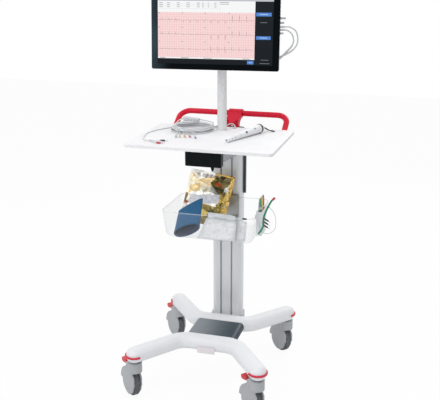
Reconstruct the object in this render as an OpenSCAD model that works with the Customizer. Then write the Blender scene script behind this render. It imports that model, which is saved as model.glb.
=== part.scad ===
// ECG machine: a touch-screen recorder on a wheeled ward trolley, with its patient leads,
// breathing handset and a clear accessory basket. Millimetres, +Z up, +Y to the rear,
// origin on the floor midway between the stem columns of the casters.

/* [Base] */
// Height of the beam centre line above the floor
beam_z = 205; // [195:1:225]
// Width of a base beam
beam_w = 72; // [60:1:80]
// Height of a base beam
beam_h = 62; // [56:1:68]
// Edge radius of a beam section
beam_r = 26; // [18:1:27]
// Bend radius of a beam centre line
beam_bend = 90; // [60:1:110]
// Half length of the middle of a beam
beam_mid = 124; // [100:1:140]
// Middle of the front beam, front to back
front_mid_y = -140; // [-160:1:-125]
// Middle of the rear beam, front to back
rear_mid_y = 80; // [70:1:90]
// Half spacing of the casters, side to side
stem_x = 270; // [250:1:290]
// Front casters, front to back
front_stem_y = -335; // [-355:1:-315]
// Rear casters, front to back
rear_stem_y = 254; // [240:1:270]
// Thickness of a bumper ring
ring_t = 6; // [4:0.5:8]
// Height of a bumper ring
ring_h = 9; // [7:0.5:10]
// Half length of the saddle cover, side to side
saddle_half = 112; // [90:1:116]
// Top of the saddle cover below the beam tops
saddle_drop = 10; // [6:1:14]
// Thickness of the saddle cover
saddle_t = 28; // [20:1:30]

/* [Casters] */
// Wheel diameter
wheel_d = 125; // [110:1:128]
// Tyre width
tyre_w = 28; // [24:1:32]
// Offset of the wheel axle behind the stem
trail = 38; // [34:1:42]
// Angle of the casters at rest
caster_turn = 137; // [0:1:359]
// Radius of the cover discs beside the wheel
cover_r = 54; // [48:1:56]
// Thickness of a cover disc
cover_t = 5.5; // [4:0.5:7]
// Radius of the swivel collar
collar_r = 30; // [26:1:32]
// Radius of the swivel spigot
spigot_r = 10; // [8:0.5:12]
// Radius of the wheel axle
axle_r = 5; // [4:0.5:6]
// Width of a brake pedal
pedal_w = 34; // [28:1:38]

/* [Column] */
// Width of the column
column_w = 136; // [124:1:146]
// Depth of the column
column_d = 78; // [70:1:86]
// Front face of the column
column_y = 148; // [142:1:156]
// Half spacing of the accessory slots
slot_x = 25; // [20:1:30]
// Opening of an accessory slot
slot_w = 8; // [6:0.5:9]
// Wall of the column extrusion
column_wall = 4; // [3:0.5:5]

/* [Worktop] */
// Width of the worktop
top_w = 610; // [560:1:640]
// Depth of the worktop
top_d = 446; // [420:1:460]
// Thickness of the worktop
top_t = 12; // [10:0.5:16]
// Height of the worktop surface
top_z = 1116; // [1080:1:1140]
// Gap between the worktop and the column
top_gap = 2; // [1:0.5:4]
// Corner radius of the worktop
top_r = 16; // [10:1:30]
// Width of the bracket under the worktop
console_w = 104; // [90:1:118]
// Depth of the bracket under the worktop, top to bottom
console_h = 112; // [80:1:120]
// Reach of the bracket in front of the column
console_l = 320; // [280:1:330]
// Width of the power box
box_w = 146; // [120:1:170]
// Height of the power box
box_h = 80; // [60:1:90]
// Thickness of the power box
box_d = 36; // [30:1:45]

/* [Push handle] */
// Diameter of the handle tube
grip_d = 25; // [20:0.5:30]
// Half spacing of the handle legs
grip_x = 250; // [230:1:270]
// Height of the crossbar above the worktop underside
grip_rise = 51; // [45:1:58]
// Slope of the handle loop
grip_slope = 32.5; // [28:0.5:38]
// Corner radius of the handle loop
grip_bend = 48; // [40:1:56]
// Width of the centre bracket
yoke_w = 62; // [56:1:72]
// Sideways offset of the centre bracket
yoke_x = 10; // [-20:1:20]

/* [Monitor] */
// Width of the screen image
screen_w = 476; // [440:1:500]
// Height of the screen image
screen_h = 268; // [250:1:285]
// Side border of the screen
border_side = 27; // [20:1:34]
// Lower border of the screen
border_low = 23; // [18:1:34]
// Upper border of the screen
border_top = 29; // [20:1:36]
// Height of the tilt axis
monitor_z = 1540; // [1500:1:1580]
// Turn of the monitor at rest
monitor_turn = 6; // [0:0.5:12]
// Lean of the monitor at rest
monitor_lean = 4; // [0:0.5:8]
// Sideways offset of the monitor from its mount
monitor_shift = -14; // [-20:1:20]
// Monitor thickness without the rear hump
monitor_t = 24; // [22:1:28]
// Depth of the rear hump
hump_t = 12; // [10:1:16]
// Distance from the post axis to the tilt axis
tilt_reach = 44; // [42:1:56]
// Diameter of the monitor post
post_d = 40; // [36:1:44]
// Front to back place of the monitor post
post_y = 75; // [60:1:90]

/* [Basket] */
// Width of the basket rim
basket_w = 410; // [380:1:420]
// Depth of the basket rim
basket_d = 300; // [280:1:310]
// Height of the basket
basket_h = 118; // [106:1:126]
// Height of the basket rim
basket_z = 800; // [780:1:830]
// Wall of the basket
basket_wall = 3; // [2.5:0.5:4]
// Corner radius of the basket
basket_r = 34; // [28:1:40]
// Slope of the basket walls, inset at the floor
basket_in = 12; // [8:1:16]

/* [Handset] */
// Length of the handset
handset_l = 250; // [230:1:260]
// Radius of the handset grip
handset_r = 18; // [16:0.5:18.5]
// Mouthpiece place, side to side
handset_x = 86; // [76:1:96]
// Mouthpiece place, front to back
handset_y = -160; // [-165:1:-145]
// Direction of the handset
handset_turn = 69; // [60:1:76]

/* [Patient leads] */
// Outer radius of the lead coil
coil_r = 98; // [90:1:99]
// Inner radius of the lead coil
coil_in = 66; // [60:1:74]
// Height of the lead coil
coil_h = 24; // [20:1:28]
// Coil centre, side to side
coil_x = -120; // [-130:1:-120]
// Coil centre, front to back
coil_y = 40; // [34:1:45]
// Diameter of the trunk cable
trunk_d = 5; // [4:0.5:6]
// Diameter of a single lead
lead_d = 3; // [2.5:0.5:3.5]

/* [Fits] */
// Radial clearance of a running fit
fit = 0.05; // [0.02:0.01:0.09]
// Clearance between faces that move past each other
gap = 0.4; // [0.3:0.1:0.8]
// Clearance of a seat
seat = 0.2; // [0.1:0.05:0.3]

/* [Hidden] */
$fn = 64;
eps = 0.01;
wheel_r = wheel_d / 2;
beam_low = beam_z - beam_h / 2;
parting = 0.05;
beam_top = beam_z + beam_h / 2;
washer_t = 2.6;
collar_top = beam_low - washer_t - gap;
collar_h = 43;
spigot_l = 30;
socket_r = 14;
socket_l = 40;
hood_in = tyre_w / 2 + 1.5;
hood_out = hood_in + cover_t;
roof_in = wheel_r + 3;
roof_out = wheel_r + 8;
tyre_in = wheel_r - 16;
rim_w = tyre_w - 6;
rim_t = 7;
rim_web = 8;
tread_r = 7;
pin_r = 3;
lug_half = 6;
lug_r = 9;
pedal_x = 66;
pedal_z = collar_top - 21;
pedal_l = 24;
stems = [[-stem_x, front_stem_y], [stem_x, front_stem_y], [-stem_x, rear_stem_y], [stem_x, rear_stem_y]];

saddle_top = beam_top - saddle_drop;
frame_low = beam_low + 4;
frame_t = 14;
frame_half = 92;
foot_wall = 7;
foot_top = beam_z + 10;
column_low = frame_low + frame_t;
column_mid = column_y + column_d / 2;
column_r = 24;

top_low = top_z - top_t;
top_back = column_y - top_gap;
top_front = top_back - top_d;
column_top = top_low - 6;
cap_t = 7;
console_low = top_low - console_h;
console_wall = 3;
console_front = column_y - console_l;
plate_t = 4;

grip_r = grip_d / 2;
weld = 0.5;
grip_low = top_low - grip_r - plate_t - weld;
grip_small = 40;
grip_sz = grip_low + grip_small * (1 - cos(grip_slope));
loop_l = (top_low + grip_rise - grip_sz) / sin(grip_slope);
grip_bar_y = 272;
grip_sy = grip_bar_y - loop_l * cos(grip_slope);
grip_bar_z = top_low + grip_rise;

post_r = post_d / 2;
post_top = monitor_z - 46;
pivot_r = 14;
pivot_l = 44;
head_r = 24;
knuckle_r = 10;
knuckle_half = 12;
tilt_pin_r = 4;
ear_t = 8;
vesa_t = 3;
vesa_w = 110;
vesa_hole = 75;
bezel_t = 6;
vesa_y = -(knuckle_r + gap + vesa_t);
hump_y = vesa_y - hump_t;
shell_y = hump_y - (monitor_t - bezel_t);
screen_y = shell_y - bezel_t;
hump_w = 300;
hump_h = 210;
case_r = 8;
case_wall = 3;
panel_t = 10;
case_w = screen_w + 2 * border_side;
case_h = screen_h + border_low + border_top;
case_low = -screen_h / 2 - border_low;

// worktop holes, screws and plates
stud_r = 10;
gland_r = 6;
screw_r = 2.5;
flange_w = 28;
slot_deep = 11;
slot_lip = 3;
console_screws = [1010, 1040];
flange_screws = [-100, 60];
grip_screws = [30, 60];
grip_root = 10;
grip_plate = 70;
yoke_t = 7;
foot_x = 20;
foot_y = column_mid + 16;
foot_t = 9;
strip_w = 16;
strip_t = 11;
strip_low = 806;
strip_top = 1090;

// basket and what stands in it
basket_low = basket_z - basket_h;
basket_mid = column_y - 13 - basket_d / 2;
basket_lip = 4;
basket_low_r = 26;
rack_w = 23;
rack_l = 80;
rack_h = 104;
rack_y = -90;
rack_wall = 2.5;
rack_x = basket_w / 2 + seat;
clamp_pitch = 23;
clamp_t = 3;
clamp_pin_r = 1.5;
clamp_bush_r = 3.2;
clamp_z = basket_z + 20;
clamp_low = 94;
clamp_jaw = 60;

// handset: radius at the mouthpiece, the band and the button
mouth_r = 9;
mouth_l = 22;
band_l = 9;
band_t = 1;
band_at = handset_l - 22;
button_at = 126;
button_r = 5;
button_up = 40;
button_h = 5;
button_travel = 1.5;

// routes of the cords, in round numbers
trunk_exit = [44, 124];
plug_l = 16;
trunk_route = [[44, 124, 1109], [44, 124, 1115], [44, 124, 1121], [34, 122, 1127], [14, 119, 1120], [-10, 112, 1118.8], [-26, 105, 1120],
  [-39.2, 96.2, 1123]];
lead_route = [[-215.6, 66.9, 1122], [-224, 59, 1119.5], [-244, 32, 1118.8], [-264, -4, 1118.8], [-278, -44, 1118.8],
  [-284, -88, 1118.8], [-276, -140, 1118.8], [-264, -180, 1118.8], [-248, -208, 1118.8], [-234, -219, 1119.4],
  [-223, -221.6, 1120]];
tail_a = [[[-212, -218, 1120], [-200, -212, 1118], [-186, -203, 1119.5], [-176, -203, 1119.5]],
          [[-212, -221.6, 1120], [-202, -226, 1118], [-190, -227, 1119.5], [-180, -227, 1119.5]],
          [[-211.7, -225.2, 1120], [-203, -238, 1118], [-188, -250, 1119.5], [-178, -250, 1119.5]]];
tail_b = [[[-158.6, -50.8, 1123], [-158, -80, 1118], [-146, -110, 1119.5]],
          [[-145.5, -55.3, 1120], [-144, -80, 1118], [-132, -104, 1119.5]],
          [[-128.6, -58.3, 1123], [-124, -78, 1118], [-112, -100, 1119.5]],
          [[-108, -58, 1120], [-102, -78, 1118], [-90, -98, 1119.5]],
          [[-86.3, -52.8, 1123], [-76, -82, 1118], [-62, -110, 1119.5]]];
loop_route = [[226, -134, 838], [240, -137, 856], [262, -138, 852], [284, -138, 826], [291, -138, 790], [286, -138, 760],
  [268, -138, 742], [248, -138, 738], [228, -138, 750], [214, -138, 778], [210, -138, 812], [216, -136, 836], [226, -134, 846]];
strap_route = [[286, -148, 898], [272, -148, 882], [256, -148, 850], [243, -148, 815], [240, -148, 790], [238, -148, 766], [220, -146, 736]];
wrist_route = [[176.4, 80, 1137.5], [179, 88, 1136], [187, 104, 1126], [200, 116, 1118], [216, 116, 1117.8], [226, 104, 1117.8],
  [218, 92, 1118.5], [202, 90, 1126], [188, 89, 1134], [181, 80, 1137.5]];
cable_plugs = [20.6, 8.9];
outer_loop = [[18, 0, 20.6], [34, 0, 20], [52, 2, 4], [62, 4, -24], [58, 8, -54], [40, 14, -78], [16, 20, -92], [-8, 22, -104]];
inner_loop = [[18, 0, 8.9], [28, 2, 4], [38, 5, -12], [40, 8, -34], [32, 12, -58], [16, 17, -78], [-8, 20, -114]];

// ---------------------------------------------------------------- shared shapes

// A rectangle with true arc corners, centred on the origin
module round_rect(w, h, r) {
  square([w - 2 * r, h], center = true);
  square([w, h - 2 * r], center = true);
  for (x = [-1, 1], y = [-1, 1]) translate([x * (w / 2 - r), y * (h / 2 - r)]) circle(r);
}

// A bar with a rounded-rectangle outline standing on z
module round_bar(w, d, h, r) {
  linear_extrude(h) round_rect(w, d, r);
}

// A ring standing on z
module ring(r_out, r_in, h) {
  difference() {
    cylinder(h = h, r = r_out);
    translate([0, 0, -1]) cylinder(h = h + 2, r = r_in);
  }
}

// A cylinder along Y, centred
module cyl_y(r, l) {
  rotate([90, 0, 0]) cylinder(h = l, r = r, center = true);
}

// A cylinder along X, centred
module cyl_x(r, l) {
  rotate([0, 90, 0]) cylinder(h = l, r = r, center = true);
}

// A smooth curve through the points p, with n steps to a span
function smooth(p, n) = [for (i = [0:len(p) - 2], k = [0:n - 1])
    let(a = p[max(i - 1, 0)], b = p[i], c = p[i + 1], d = p[min(i + 2, len(p) - 1)], t = k / n)
    0.5 * (2 * b + (c - a) * t + (2 * a - 5 * b + 4 * c - d) * t * t + (3 * b - 3 * c + d - a) * t * t * t),
  p[len(p) - 1]];

function unit(v) = v / norm(v);
function heading(p, i) = unit(p[min(i + 1, len(p) - 1)] - p[max(i - 1, 0)]);

// One sideways vector to a point, carried along the route without twisting
function sideways(p, i = 0, last = [0.1, 0.2, 1]) = i >= len(p) ? [] :
  let(t = heading(p, i), s = unit(last - (last * t) * t)) concat([s], sideways(p, i + 1, s));

// A tube swept along a smooth curve through the points
module tube(points, r, sides = 8, n = 2) {
  p = smooth(points, n);
  s = sideways(p);
  rings = [for (i = [0:len(p) - 1]) let(v = cross(heading(p, i), s[i]))
    for (k = [0:sides - 1]) p[i] + r * (cos(360 * k / sides) * s[i] + sin(360 * k / sides) * v)];
  polyhedron(points = rings, faces = concat(
    [[for (k = [0:sides - 1]) k], [for (k = [sides - 1:-1:0]) (len(p) - 1) * sides + k]],
    [for (i = [0:len(p) - 2], k = [0:sides - 1]) let(a = i * sides + k, b = i * sides + (k + 1) % sides)
      [a, a + sides, b + sides, b]]));
}

// ---------------------------------------------------------------- base

// Section of a beam
module beam_section(grow) {
  round_rect(beam_w + 2 * grow, beam_h + 2 * grow, beam_r + grow);
}

// One arm of a beam: bend, straight and rounded end, to a stem at run beyond the middle.
// Bends and ends stand proud of the straights by a parting line that buries their ends.
module beam_arm(run, t, grow) {
  a = atan2(run, stem_x - beam_mid);
  proud = grow + parting;
  translate([beam_mid - t, beam_bend, 0]) rotate([0, 0, -90])
    rotate_extrude(angle = a) translate([beam_bend, 0]) beam_section(proud);
  translate([beam_mid, 0, 0]) rotate([0, 0, a]) translate([t - 1, 0, 0]) rotate([90, 0, 90])
    linear_extrude(norm([stem_x - beam_mid, run]) - t + 2) beam_section(grow);
  translate([stem_x, run, 0]) rotate([0, 0, a - 90]) rotate_extrude(angle = 180) intersection() {
    beam_section(proud);
    translate([0, -beam_h]) square([beam_w, 2 * beam_h]);
  }
}

// A whole beam with its middle on y, its arms turned to the front or to the rear
module beam(mid_y, stem_y, grow = 0) {
  run = abs(stem_y - mid_y);
  t = beam_bend * tan(atan2(run, stem_x - beam_mid) / 2);
  translate([0, mid_y, beam_z]) {
    rotate([90, 0, 90]) translate([0, 0, t - beam_mid - 1]) linear_extrude(2 * (beam_mid - t + 1)) beam_section(grow);
    mirror([0, stem_y < mid_y ? 1 : 0, 0]) for (s = [0, 1]) mirror([s, 0, 0]) beam_arm(run, t, grow);
  }
}

module bored_beam(mid_y, stem_y) {
  difference() {
    beam(mid_y, stem_y);
    for (s = [-1, 1]) translate([s * stem_x, stem_y, beam_low - 1]) cylinder(h = socket_l + 1, r = socket_r);
  }
}

module front_beam() {
  color("whitesmoke") bored_beam(front_mid_y, front_stem_y);
}

module rear_beam() {
  color("whitesmoke") bored_beam(rear_mid_y, rear_stem_y);
}

// Cast bridge between the beams with the socket that holds the column
module base_frame() {
  front_y = front_mid_y + 10;
  color("gainsboro") difference() {
    union() {
      translate([-frame_half, front_y, frame_low]) cube([2 * frame_half, rear_mid_y - front_y, frame_t]);
      translate([0, column_mid, frame_low])
        round_bar(column_w + 2 * foot_wall, column_d + 2 * foot_wall, foot_top - frame_low, column_r + foot_wall);
      translate([-frame_half + 14, rear_mid_y, frame_low])
        cube([2 * frame_half - 28, column_mid - rear_mid_y, foot_top - frame_low - 8]);
    }
    beam(front_mid_y, front_stem_y, seat / 2);
    beam(rear_mid_y, rear_stem_y, seat / 2);
    translate([0, column_mid, column_low])
      round_bar(column_w + seat, column_d + seat, beam_h, column_r + seat / 2);
  }
}

// Glossy cover that fills the well between the beams
module saddle_cover() {
  color("darkslategray") difference() {
    translate([0, rear_mid_y, saddle_top - saddle_t]) rotate([90, 0, 0])
      linear_extrude(rear_mid_y - front_mid_y) difference() {
        union() {
          translate([-saddle_half, 0]) square([2 * saddle_half, saddle_t - beam_r + 8]);
          translate([-saddle_half + beam_r - 8, 0]) square([2 * (saddle_half - beam_r + 8), saddle_t]);
          for (s = [-1, 1]) translate([s * (saddle_half - beam_r + 8), saddle_t - beam_r + 8]) circle(beam_r - 8);
        }
        translate([-saddle_half + 4, -1]) square([2 * saddle_half - 8, saddle_t - beam_r + 9]);
        translate([0, -beam_r]) square([4 * saddle_half, 2 * beam_r], center = true);
      }
    beam(front_mid_y, front_stem_y, seat);
    beam(rear_mid_y, rear_stem_y, seat);
  }
}

// Soft red bumpers round the beam ends
module bumper_rings() {
  color("crimson") for (p = stems) {
    out = atan2(p[1] - (p[1] < 0 ? front_mid_y : rear_mid_y), p[0] - sign(p[0]) * beam_mid);
    translate([p[0], p[1], beam_z]) rotate([0, 0, out - 93]) rotate_extrude(angle = 186)
      translate([beam_w / 2 + seat + ring_t / 2, 0]) round_rect(ring_t, ring_h, ring_t / 2 - 0.2);
  }
}

// Steel spigots pressed into the beams; the casters swivel on them
module caster_stems() {
  color("silver") for (p = stems) translate([p[0], p[1], 0]) {
    translate([0, 0, beam_low]) cylinder(h = socket_l, r = socket_r - fit);
    translate([0, 0, beam_low - washer_t]) cylinder(h = washer_t, r = 20);
    translate([0, 0, collar_top - spigot_l]) cylinder(h = spigot_l + washer_t, r = spigot_r);
  }
}

// ---------------------------------------------------------------- casters

// Places a caster part on its stem; local +X trails, the wheel axle lies along Y
module caster(i) {
  translate([stems[i][0], stems[i][1], 0]) rotate([0, 0, caster_turn]) children();
}

// Hooded fork: collar, neck, roof and a cover disc on each side of the wheel
module housing() {
  color("darkgray") difference() {
    union() {
      translate([0, 0, collar_top - collar_h]) cylinder(h = collar_h, r = collar_r);
      rotate([90, 0, 0]) linear_extrude(2 * hood_out, center = true) {
        translate([trail, wheel_r]) circle(cover_r);
        hood_outline();
      }
      rotate([90, 0, 0]) linear_extrude(2 * lug_half, center = true) {
        translate([pedal_x, pedal_z]) circle(lug_r);
        translate([trail, pedal_z - lug_r - 8]) square([pedal_x - trail + 2, lug_r + 8]);
        translate([trail, pedal_z - lug_r]) square([pedal_x - trail, 2 * lug_r]);
      }
    }
    translate([trail, 0, wheel_r]) cyl_y(roof_in, 2 * hood_in);
    translate([trail, 0, wheel_r]) cyl_y(axle_r, 2 * hood_out - 2);
    translate([0, 0, collar_top - spigot_l - gap]) cylinder(h = spigot_l + 1, r = spigot_r + fit);
    translate([pedal_x, 0, pedal_z]) cyl_y(pin_r + fit, 2 * lug_half + 2);
    // the hood is open under the collar, where the tyre shows
    translate([-3 * collar_r, -hood_in, -1]) cube([3 * collar_r + trail - 20, 2 * hood_in, collar_top - collar_h + 1]);
  }
}

// Side outline of the neck and roof
module hood_outline() {
  neck_x = trail + 12;
  intersection() {
    translate([trail, wheel_r]) circle(roof_out);
    translate([-collar_r + 8, wheel_r]) square([roof_out + trail + collar_r, roof_out]);
  }
  polygon([[-collar_r + 12, collar_top - collar_h - 6], [0, collar_top - 2], [neck_x - 18, collar_top - 4],
           [neck_x, pedal_z + 4], [neck_x, wheel_r + cover_r], [trail, wheel_r + cover_r - 20]]);
}

module axle() {
  color("silver") translate([trail, 0, wheel_r]) cyl_y(axle_r, 2 * hood_out - 2);
}

// Wheel centre: boss, web and rim turned as one
module hub() {
  color("dimgray") translate([trail, 0, wheel_r]) rotate([90, 0, 0]) rotate_extrude() {
    translate([axle_r + fit, -hood_in + gap]) square([8, 2 * (hood_in - gap)]);
    translate([axle_r + fit + 4, -rim_web / 2]) square([tyre_in - axle_r - 8, rim_web]);
    translate([tyre_in - rim_t, -rim_w / 2]) square([rim_t, rim_w]);
  }
}

module tyre() {
  flat = tyre_w - 2 * tread_r;
  color("darkslategray") translate([trail, 0, wheel_r]) rotate([90, 0, 0]) rotate_extrude() {
    translate([tyre_in, -rim_w / 2]) square([wheel_r - tyre_in - tread_r, rim_w]);
    translate([tyre_in + 3, -tyre_w / 2]) square([wheel_r - tyre_in - tread_r - 3, tyre_w]);
    translate([wheel_r - tread_r - eps, -flat / 2]) square([tread_r + eps, flat]);
    for (s = [-1, 1]) translate([wheel_r - tread_r, s * flat / 2]) circle(tread_r);
  }
}

// Brake pedal: a forked paddle whose pin runs in the lug of the hood
module pedal() {
  color("tomato") union() {
    difference() {
      rotate([90, 0, 0]) linear_extrude(pedal_w, center = true) {
        translate([pedal_x, pedal_z]) circle(lug_r);
        translate([pedal_x + pedal_l, pedal_z - 2]) circle(lug_r + 2);
        polygon([[pedal_x, pedal_z - lug_r], [pedal_x + pedal_l, pedal_z - lug_r - 4],
                 [pedal_x + pedal_l, pedal_z + lug_r], [pedal_x, pedal_z + lug_r]]);
      }
      translate([pedal_x - 2 * lug_r, -lug_half - gap, pedal_z - 3 * lug_r])
        cube([3 * lug_r + 1, 2 * (lug_half + gap), 6 * lug_r]);
    }
    translate([pedal_x, 0, pedal_z]) cyl_y(pin_r, 2 * lug_half + 4);
  }
}

module housing_fl() { caster(0) housing(); }
module housing_fr() { caster(1) housing(); }
module housing_rl() { caster(2) housing(); }
module housing_rr() { caster(3) housing(); }
module axle_fl() { caster(0) axle(); }
module axle_fr() { caster(1) axle(); }
module axle_rl() { caster(2) axle(); }
module axle_rr() { caster(3) axle(); }
module hub_fl() { caster(0) hub(); }
module hub_fr() { caster(1) hub(); }
module hub_rl() { caster(2) hub(); }
module hub_rr() { caster(3) hub(); }
module tyre_fl() { caster(0) tyre(); }
module tyre_fr() { caster(1) tyre(); }
module tyre_rl() { caster(2) tyre(); }
module tyre_rr() { caster(3) tyre(); }
module pedal_fl() { caster(0) pedal(); }
module pedal_fr() { caster(1) pedal(); }
module pedal_rl() { caster(2) pedal(); }
module pedal_rr() { caster(3) pedal(); }

// ---------------------------------------------------------------- column

module column_outline(grow = 0) {
  round_rect(column_w + 2 * grow, column_d + 2 * grow, column_r + grow);
}

// One accessory slot of the column, its mouth on the line y = 0
module slot_outline() {
  translate([-slot_w / 2, -slot_lip - 1]) square([slot_w, slot_lip + 2]);
  translate([-slot_w, -slot_deep]) square([2 * slot_w, slot_deep - slot_lip]);
}

// Aluminium extrusion with two accessory slots in front and two behind
module column() {
  hollow_d = column_d - 2 * column_wall;
  middle_w = slot_x - slot_w - column_wall;
  side_x = slot_x + slot_w + column_wall;
  side_w = column_w / 2 - column_wall - side_x;
  color("silver") translate([0, column_mid, column_low]) linear_extrude(column_top - column_low) difference() {
    column_outline();
    square([2 * middle_w, hollow_d], center = true);
    for (s = [0, 1], f = [0, 1]) mirror([s, 0]) mirror([0, f]) translate([slot_x, column_d / 2]) slot_outline();
    for (s = [-1, 1]) {
      translate([s * (side_x + side_w / 2), 0]) round_rect(side_w, hollow_d - column_r + column_wall, side_w / 3);
      translate([s * slot_x, 0]) round_rect(2 * slot_w, hollow_d - 2 * slot_deep, 3);
    }
  }
}

// Top cap and the dark cable cover on the side of the column
module column_trim() {
  color("gainsboro") translate([0, column_mid, column_top]) linear_extrude(cap_t - 2) column_outline();
  color("gainsboro") translate([0, column_mid, column_top + cap_t - 2]) linear_extrude(2) column_outline(-2);
  color("black") translate([column_w / 2, column_mid + 4, 0]) {
    translate([0, -strip_w / 2, strip_low + strip_w / 2]) cube([strip_t, strip_w, strip_top - strip_low - strip_w / 2]);
    translate([strip_t / 2, 0, strip_low + strip_w / 2]) cyl_x(strip_w / 2, strip_t);
  }
}

// Folded steel arm that carries the worktop and the post
module worktop_console() {
  color("lightsteelblue") difference() {
    union() {
      translate([-console_w / 2, console_front, console_low]) cube([console_w, console_l, console_h]);
      translate([-console_w / 2 - flange_w, console_front + 20, top_low - plate_t])
        cube([console_w + 2 * flange_w, console_l - 60, plate_t]);
    }
    translate([-console_w / 2 + console_wall, console_front + console_wall, console_low - 1])
      cube([console_w - 2 * console_wall, console_l - 2 * console_wall, console_h - plate_t + 1]);
    translate([0, post_y, top_low - 2 * plate_t]) cylinder(h = 3 * plate_t, r = stud_r + seat);
    for (s = [-1, 1], z = console_screws)
      translate([s * slot_x, column_y - console_wall / 2, z]) cyl_y(screw_r + seat, 2 * console_wall);
    for (s = [-1, 1], y = flange_screws)
      translate([s * (console_w / 2 + flange_w / 2), y, top_low - 2 * plate_t]) cylinder(h = 3 * plate_t, r = screw_r + seat);
  }
}

module worktop() {
  color("white") difference() {
    translate([0, (top_front + top_back) / 2, top_low]) round_bar(top_w, top_d, top_t, top_r);
    translate([0, post_y, top_low - 1]) cylinder(h = top_t + 2, r = stud_r + seat);
    translate([trunk_exit[0], trunk_exit[1], top_low - 1]) cylinder(h = top_t + 2, r = gland_r + seat);
  }
}

// A socket-head screw with its head on z = 0 and its shank below
module screw(l) {
  difference() {
    cylinder(h = 4, r = 5);
    translate([0, 0, 1.5]) cylinder(h = 4, r = 2.5, $fn = 6);
  }
  translate([0, 0, -l]) cylinder(h = l, r = screw_r);
}

// Screws of the bracket, the handle plates and the handle bracket
module screws() {
  color("silver") {
    for (s = [-1, 1], z = console_screws) translate([s * slot_x, column_y - console_wall, z])
      rotate([90, 0, 0]) screw(console_wall + slot_deep - slot_lip);
    for (s = [-1, 1], y = flange_screws) translate([s * (console_w / 2 + flange_w / 2), y, top_low - plate_t])
      rotate([180, 0, 0]) screw(plate_t);
    for (s = [-1, 1], y = grip_screws) translate([s * (grip_x - grip_r - 9), y, top_low - plate_t])
      rotate([180, 0, 0]) screw(plate_t);
    for (s = [-1, 1]) translate([yoke_x + s * foot_x, foot_y, column_top + cap_t + foot_t]) screw(foot_t);
  }
}

// Mains power box on the front of the bracket, with its short lead
module power_box() {
  lead_x = 34;
  box_z = top_low - 3 - box_h / 2;
  color("darkslategray") {
    translate([0, console_front - box_d / 2, box_z]) rotate([90, 0, 0]) {
      translate([0, 0, -box_d / 2]) linear_extrude(box_d - 3) round_rect(box_w, box_h, 4);
      translate([0, 0, box_d / 2 - 3]) linear_extrude(3) round_rect(box_w - 5, box_h - 5, 3);
    }
    translate([lead_x, console_front - box_d / 2, box_z - box_h / 2 - 14]) cylinder(h = 14, r1 = 3.6, r2 = 5.5);
    tube([[lead_x, console_front - box_d / 2, box_z - box_h / 2 - 13], [lead_x, console_front - box_d / 2, 992],
          [30, console_front - box_d / 2 + 10, 960], [20, -120, 930], [10, -20, 928], [4, 70, 934],
          [0, 125, 950], [0, column_y - 7, 975]], 3.2);
    translate([0, column_y - 7, 975]) cube([14, 14, 12], center = true);
  }
}

// ---------------------------------------------------------------- push handle

// A bend of the handle tube in the XY plane, standing proud by the parting line
module grip_bend_piece(r, angle) {
  rotate_extrude(angle = angle) translate([r, 0]) circle(grip_r + parting);
}

// One leg of the handle: straight under the worktop, small bend, slope and corner
module handle_leg() {
  leg_y = grip_sy - grip_small * sin(grip_slope);
  translate([grip_x, grip_root, grip_low]) rotate([-90, 0, 0]) cylinder(h = leg_y - grip_root + 1, r = grip_r);
  translate([grip_x, leg_y, grip_low + grip_small]) rotate([0, 90, 0]) grip_bend_piece(grip_small, grip_slope);
  translate([0, grip_sy, grip_sz]) rotate([grip_slope, 0, 0]) {
    translate([grip_x, -1, 0]) rotate([-90, 0, 0]) cylinder(h = loop_l - grip_bend + 2, r = grip_r);
    translate([grip_x - grip_bend, loop_l - grip_bend, 0]) grip_bend_piece(grip_bend, 90);
  }
}

// Plate that screws under the worktop, with the block that welds it to the leg
module handle_plate() {
  difference() {
    translate([grip_x - grip_r - 18, grip_root, top_low - plate_t]) cube([2 * grip_r + 18, grip_plate, plate_t]);
    for (y = grip_screws) translate([grip_x - grip_r - 9, y, top_low - plate_t - 1]) cylinder(h = plate_t + 2, r = screw_r + seat);
  }
  translate([grip_x - grip_r + 4, grip_root + 3, grip_low]) cube([2 * grip_r - 8, grip_plate - 6, grip_r + weld + 1]);
}

module handle_tube() {
  color("crimson") {
    for (s = [0, 1]) mirror([s, 0, 0]) {
      handle_leg();
      handle_plate();
    }
    translate([0, grip_bar_y, grip_bar_z]) cyl_x(grip_r, 2 * (grip_x - grip_bend + 1));
  }
}

// Red bracket from the top of the column up to the crossbar
module handle_bracket() {
  top_y = column_top + cap_t;
  color("crimson") translate([yoke_x, 0, 0]) difference() {
    rotate([90, 0, 90]) linear_extrude(yoke_w, center = true) difference() {
      union() {
        translate([grip_bar_y, grip_bar_z]) circle(grip_r + yoke_t);
        polygon([[foot_y - 10, top_y], [foot_y + 12, top_y], [foot_y + 18, top_y + 12],
                 [grip_bar_y + 8, grip_bar_z - grip_r], [grip_bar_y - 8, grip_bar_z + grip_r], [foot_y - 7, top_y + 22]]);
      }
      translate([grip_bar_y, grip_bar_z]) circle(grip_r + fit);
    }
    // notch between the feet and waisted sides
    translate([-7, foot_y - 30, top_y - 1]) cube([14, 60, 9]);
    for (s = [-1, 1]) translate([s * (yoke_w / 2 + 21), foot_y + 30, top_y + 24]) cyl_y(24, 120);
    for (s = [-1, 1]) translate([s * foot_x, foot_y, top_y + foot_t]) cylinder(h = 30, r = 6);
    for (s = [-1, 1]) translate([s * foot_x, foot_y, top_y - 1]) cylinder(h = 30, r = screw_r + seat);
  }
}

// ---------------------------------------------------------------- post and monitor

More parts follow.
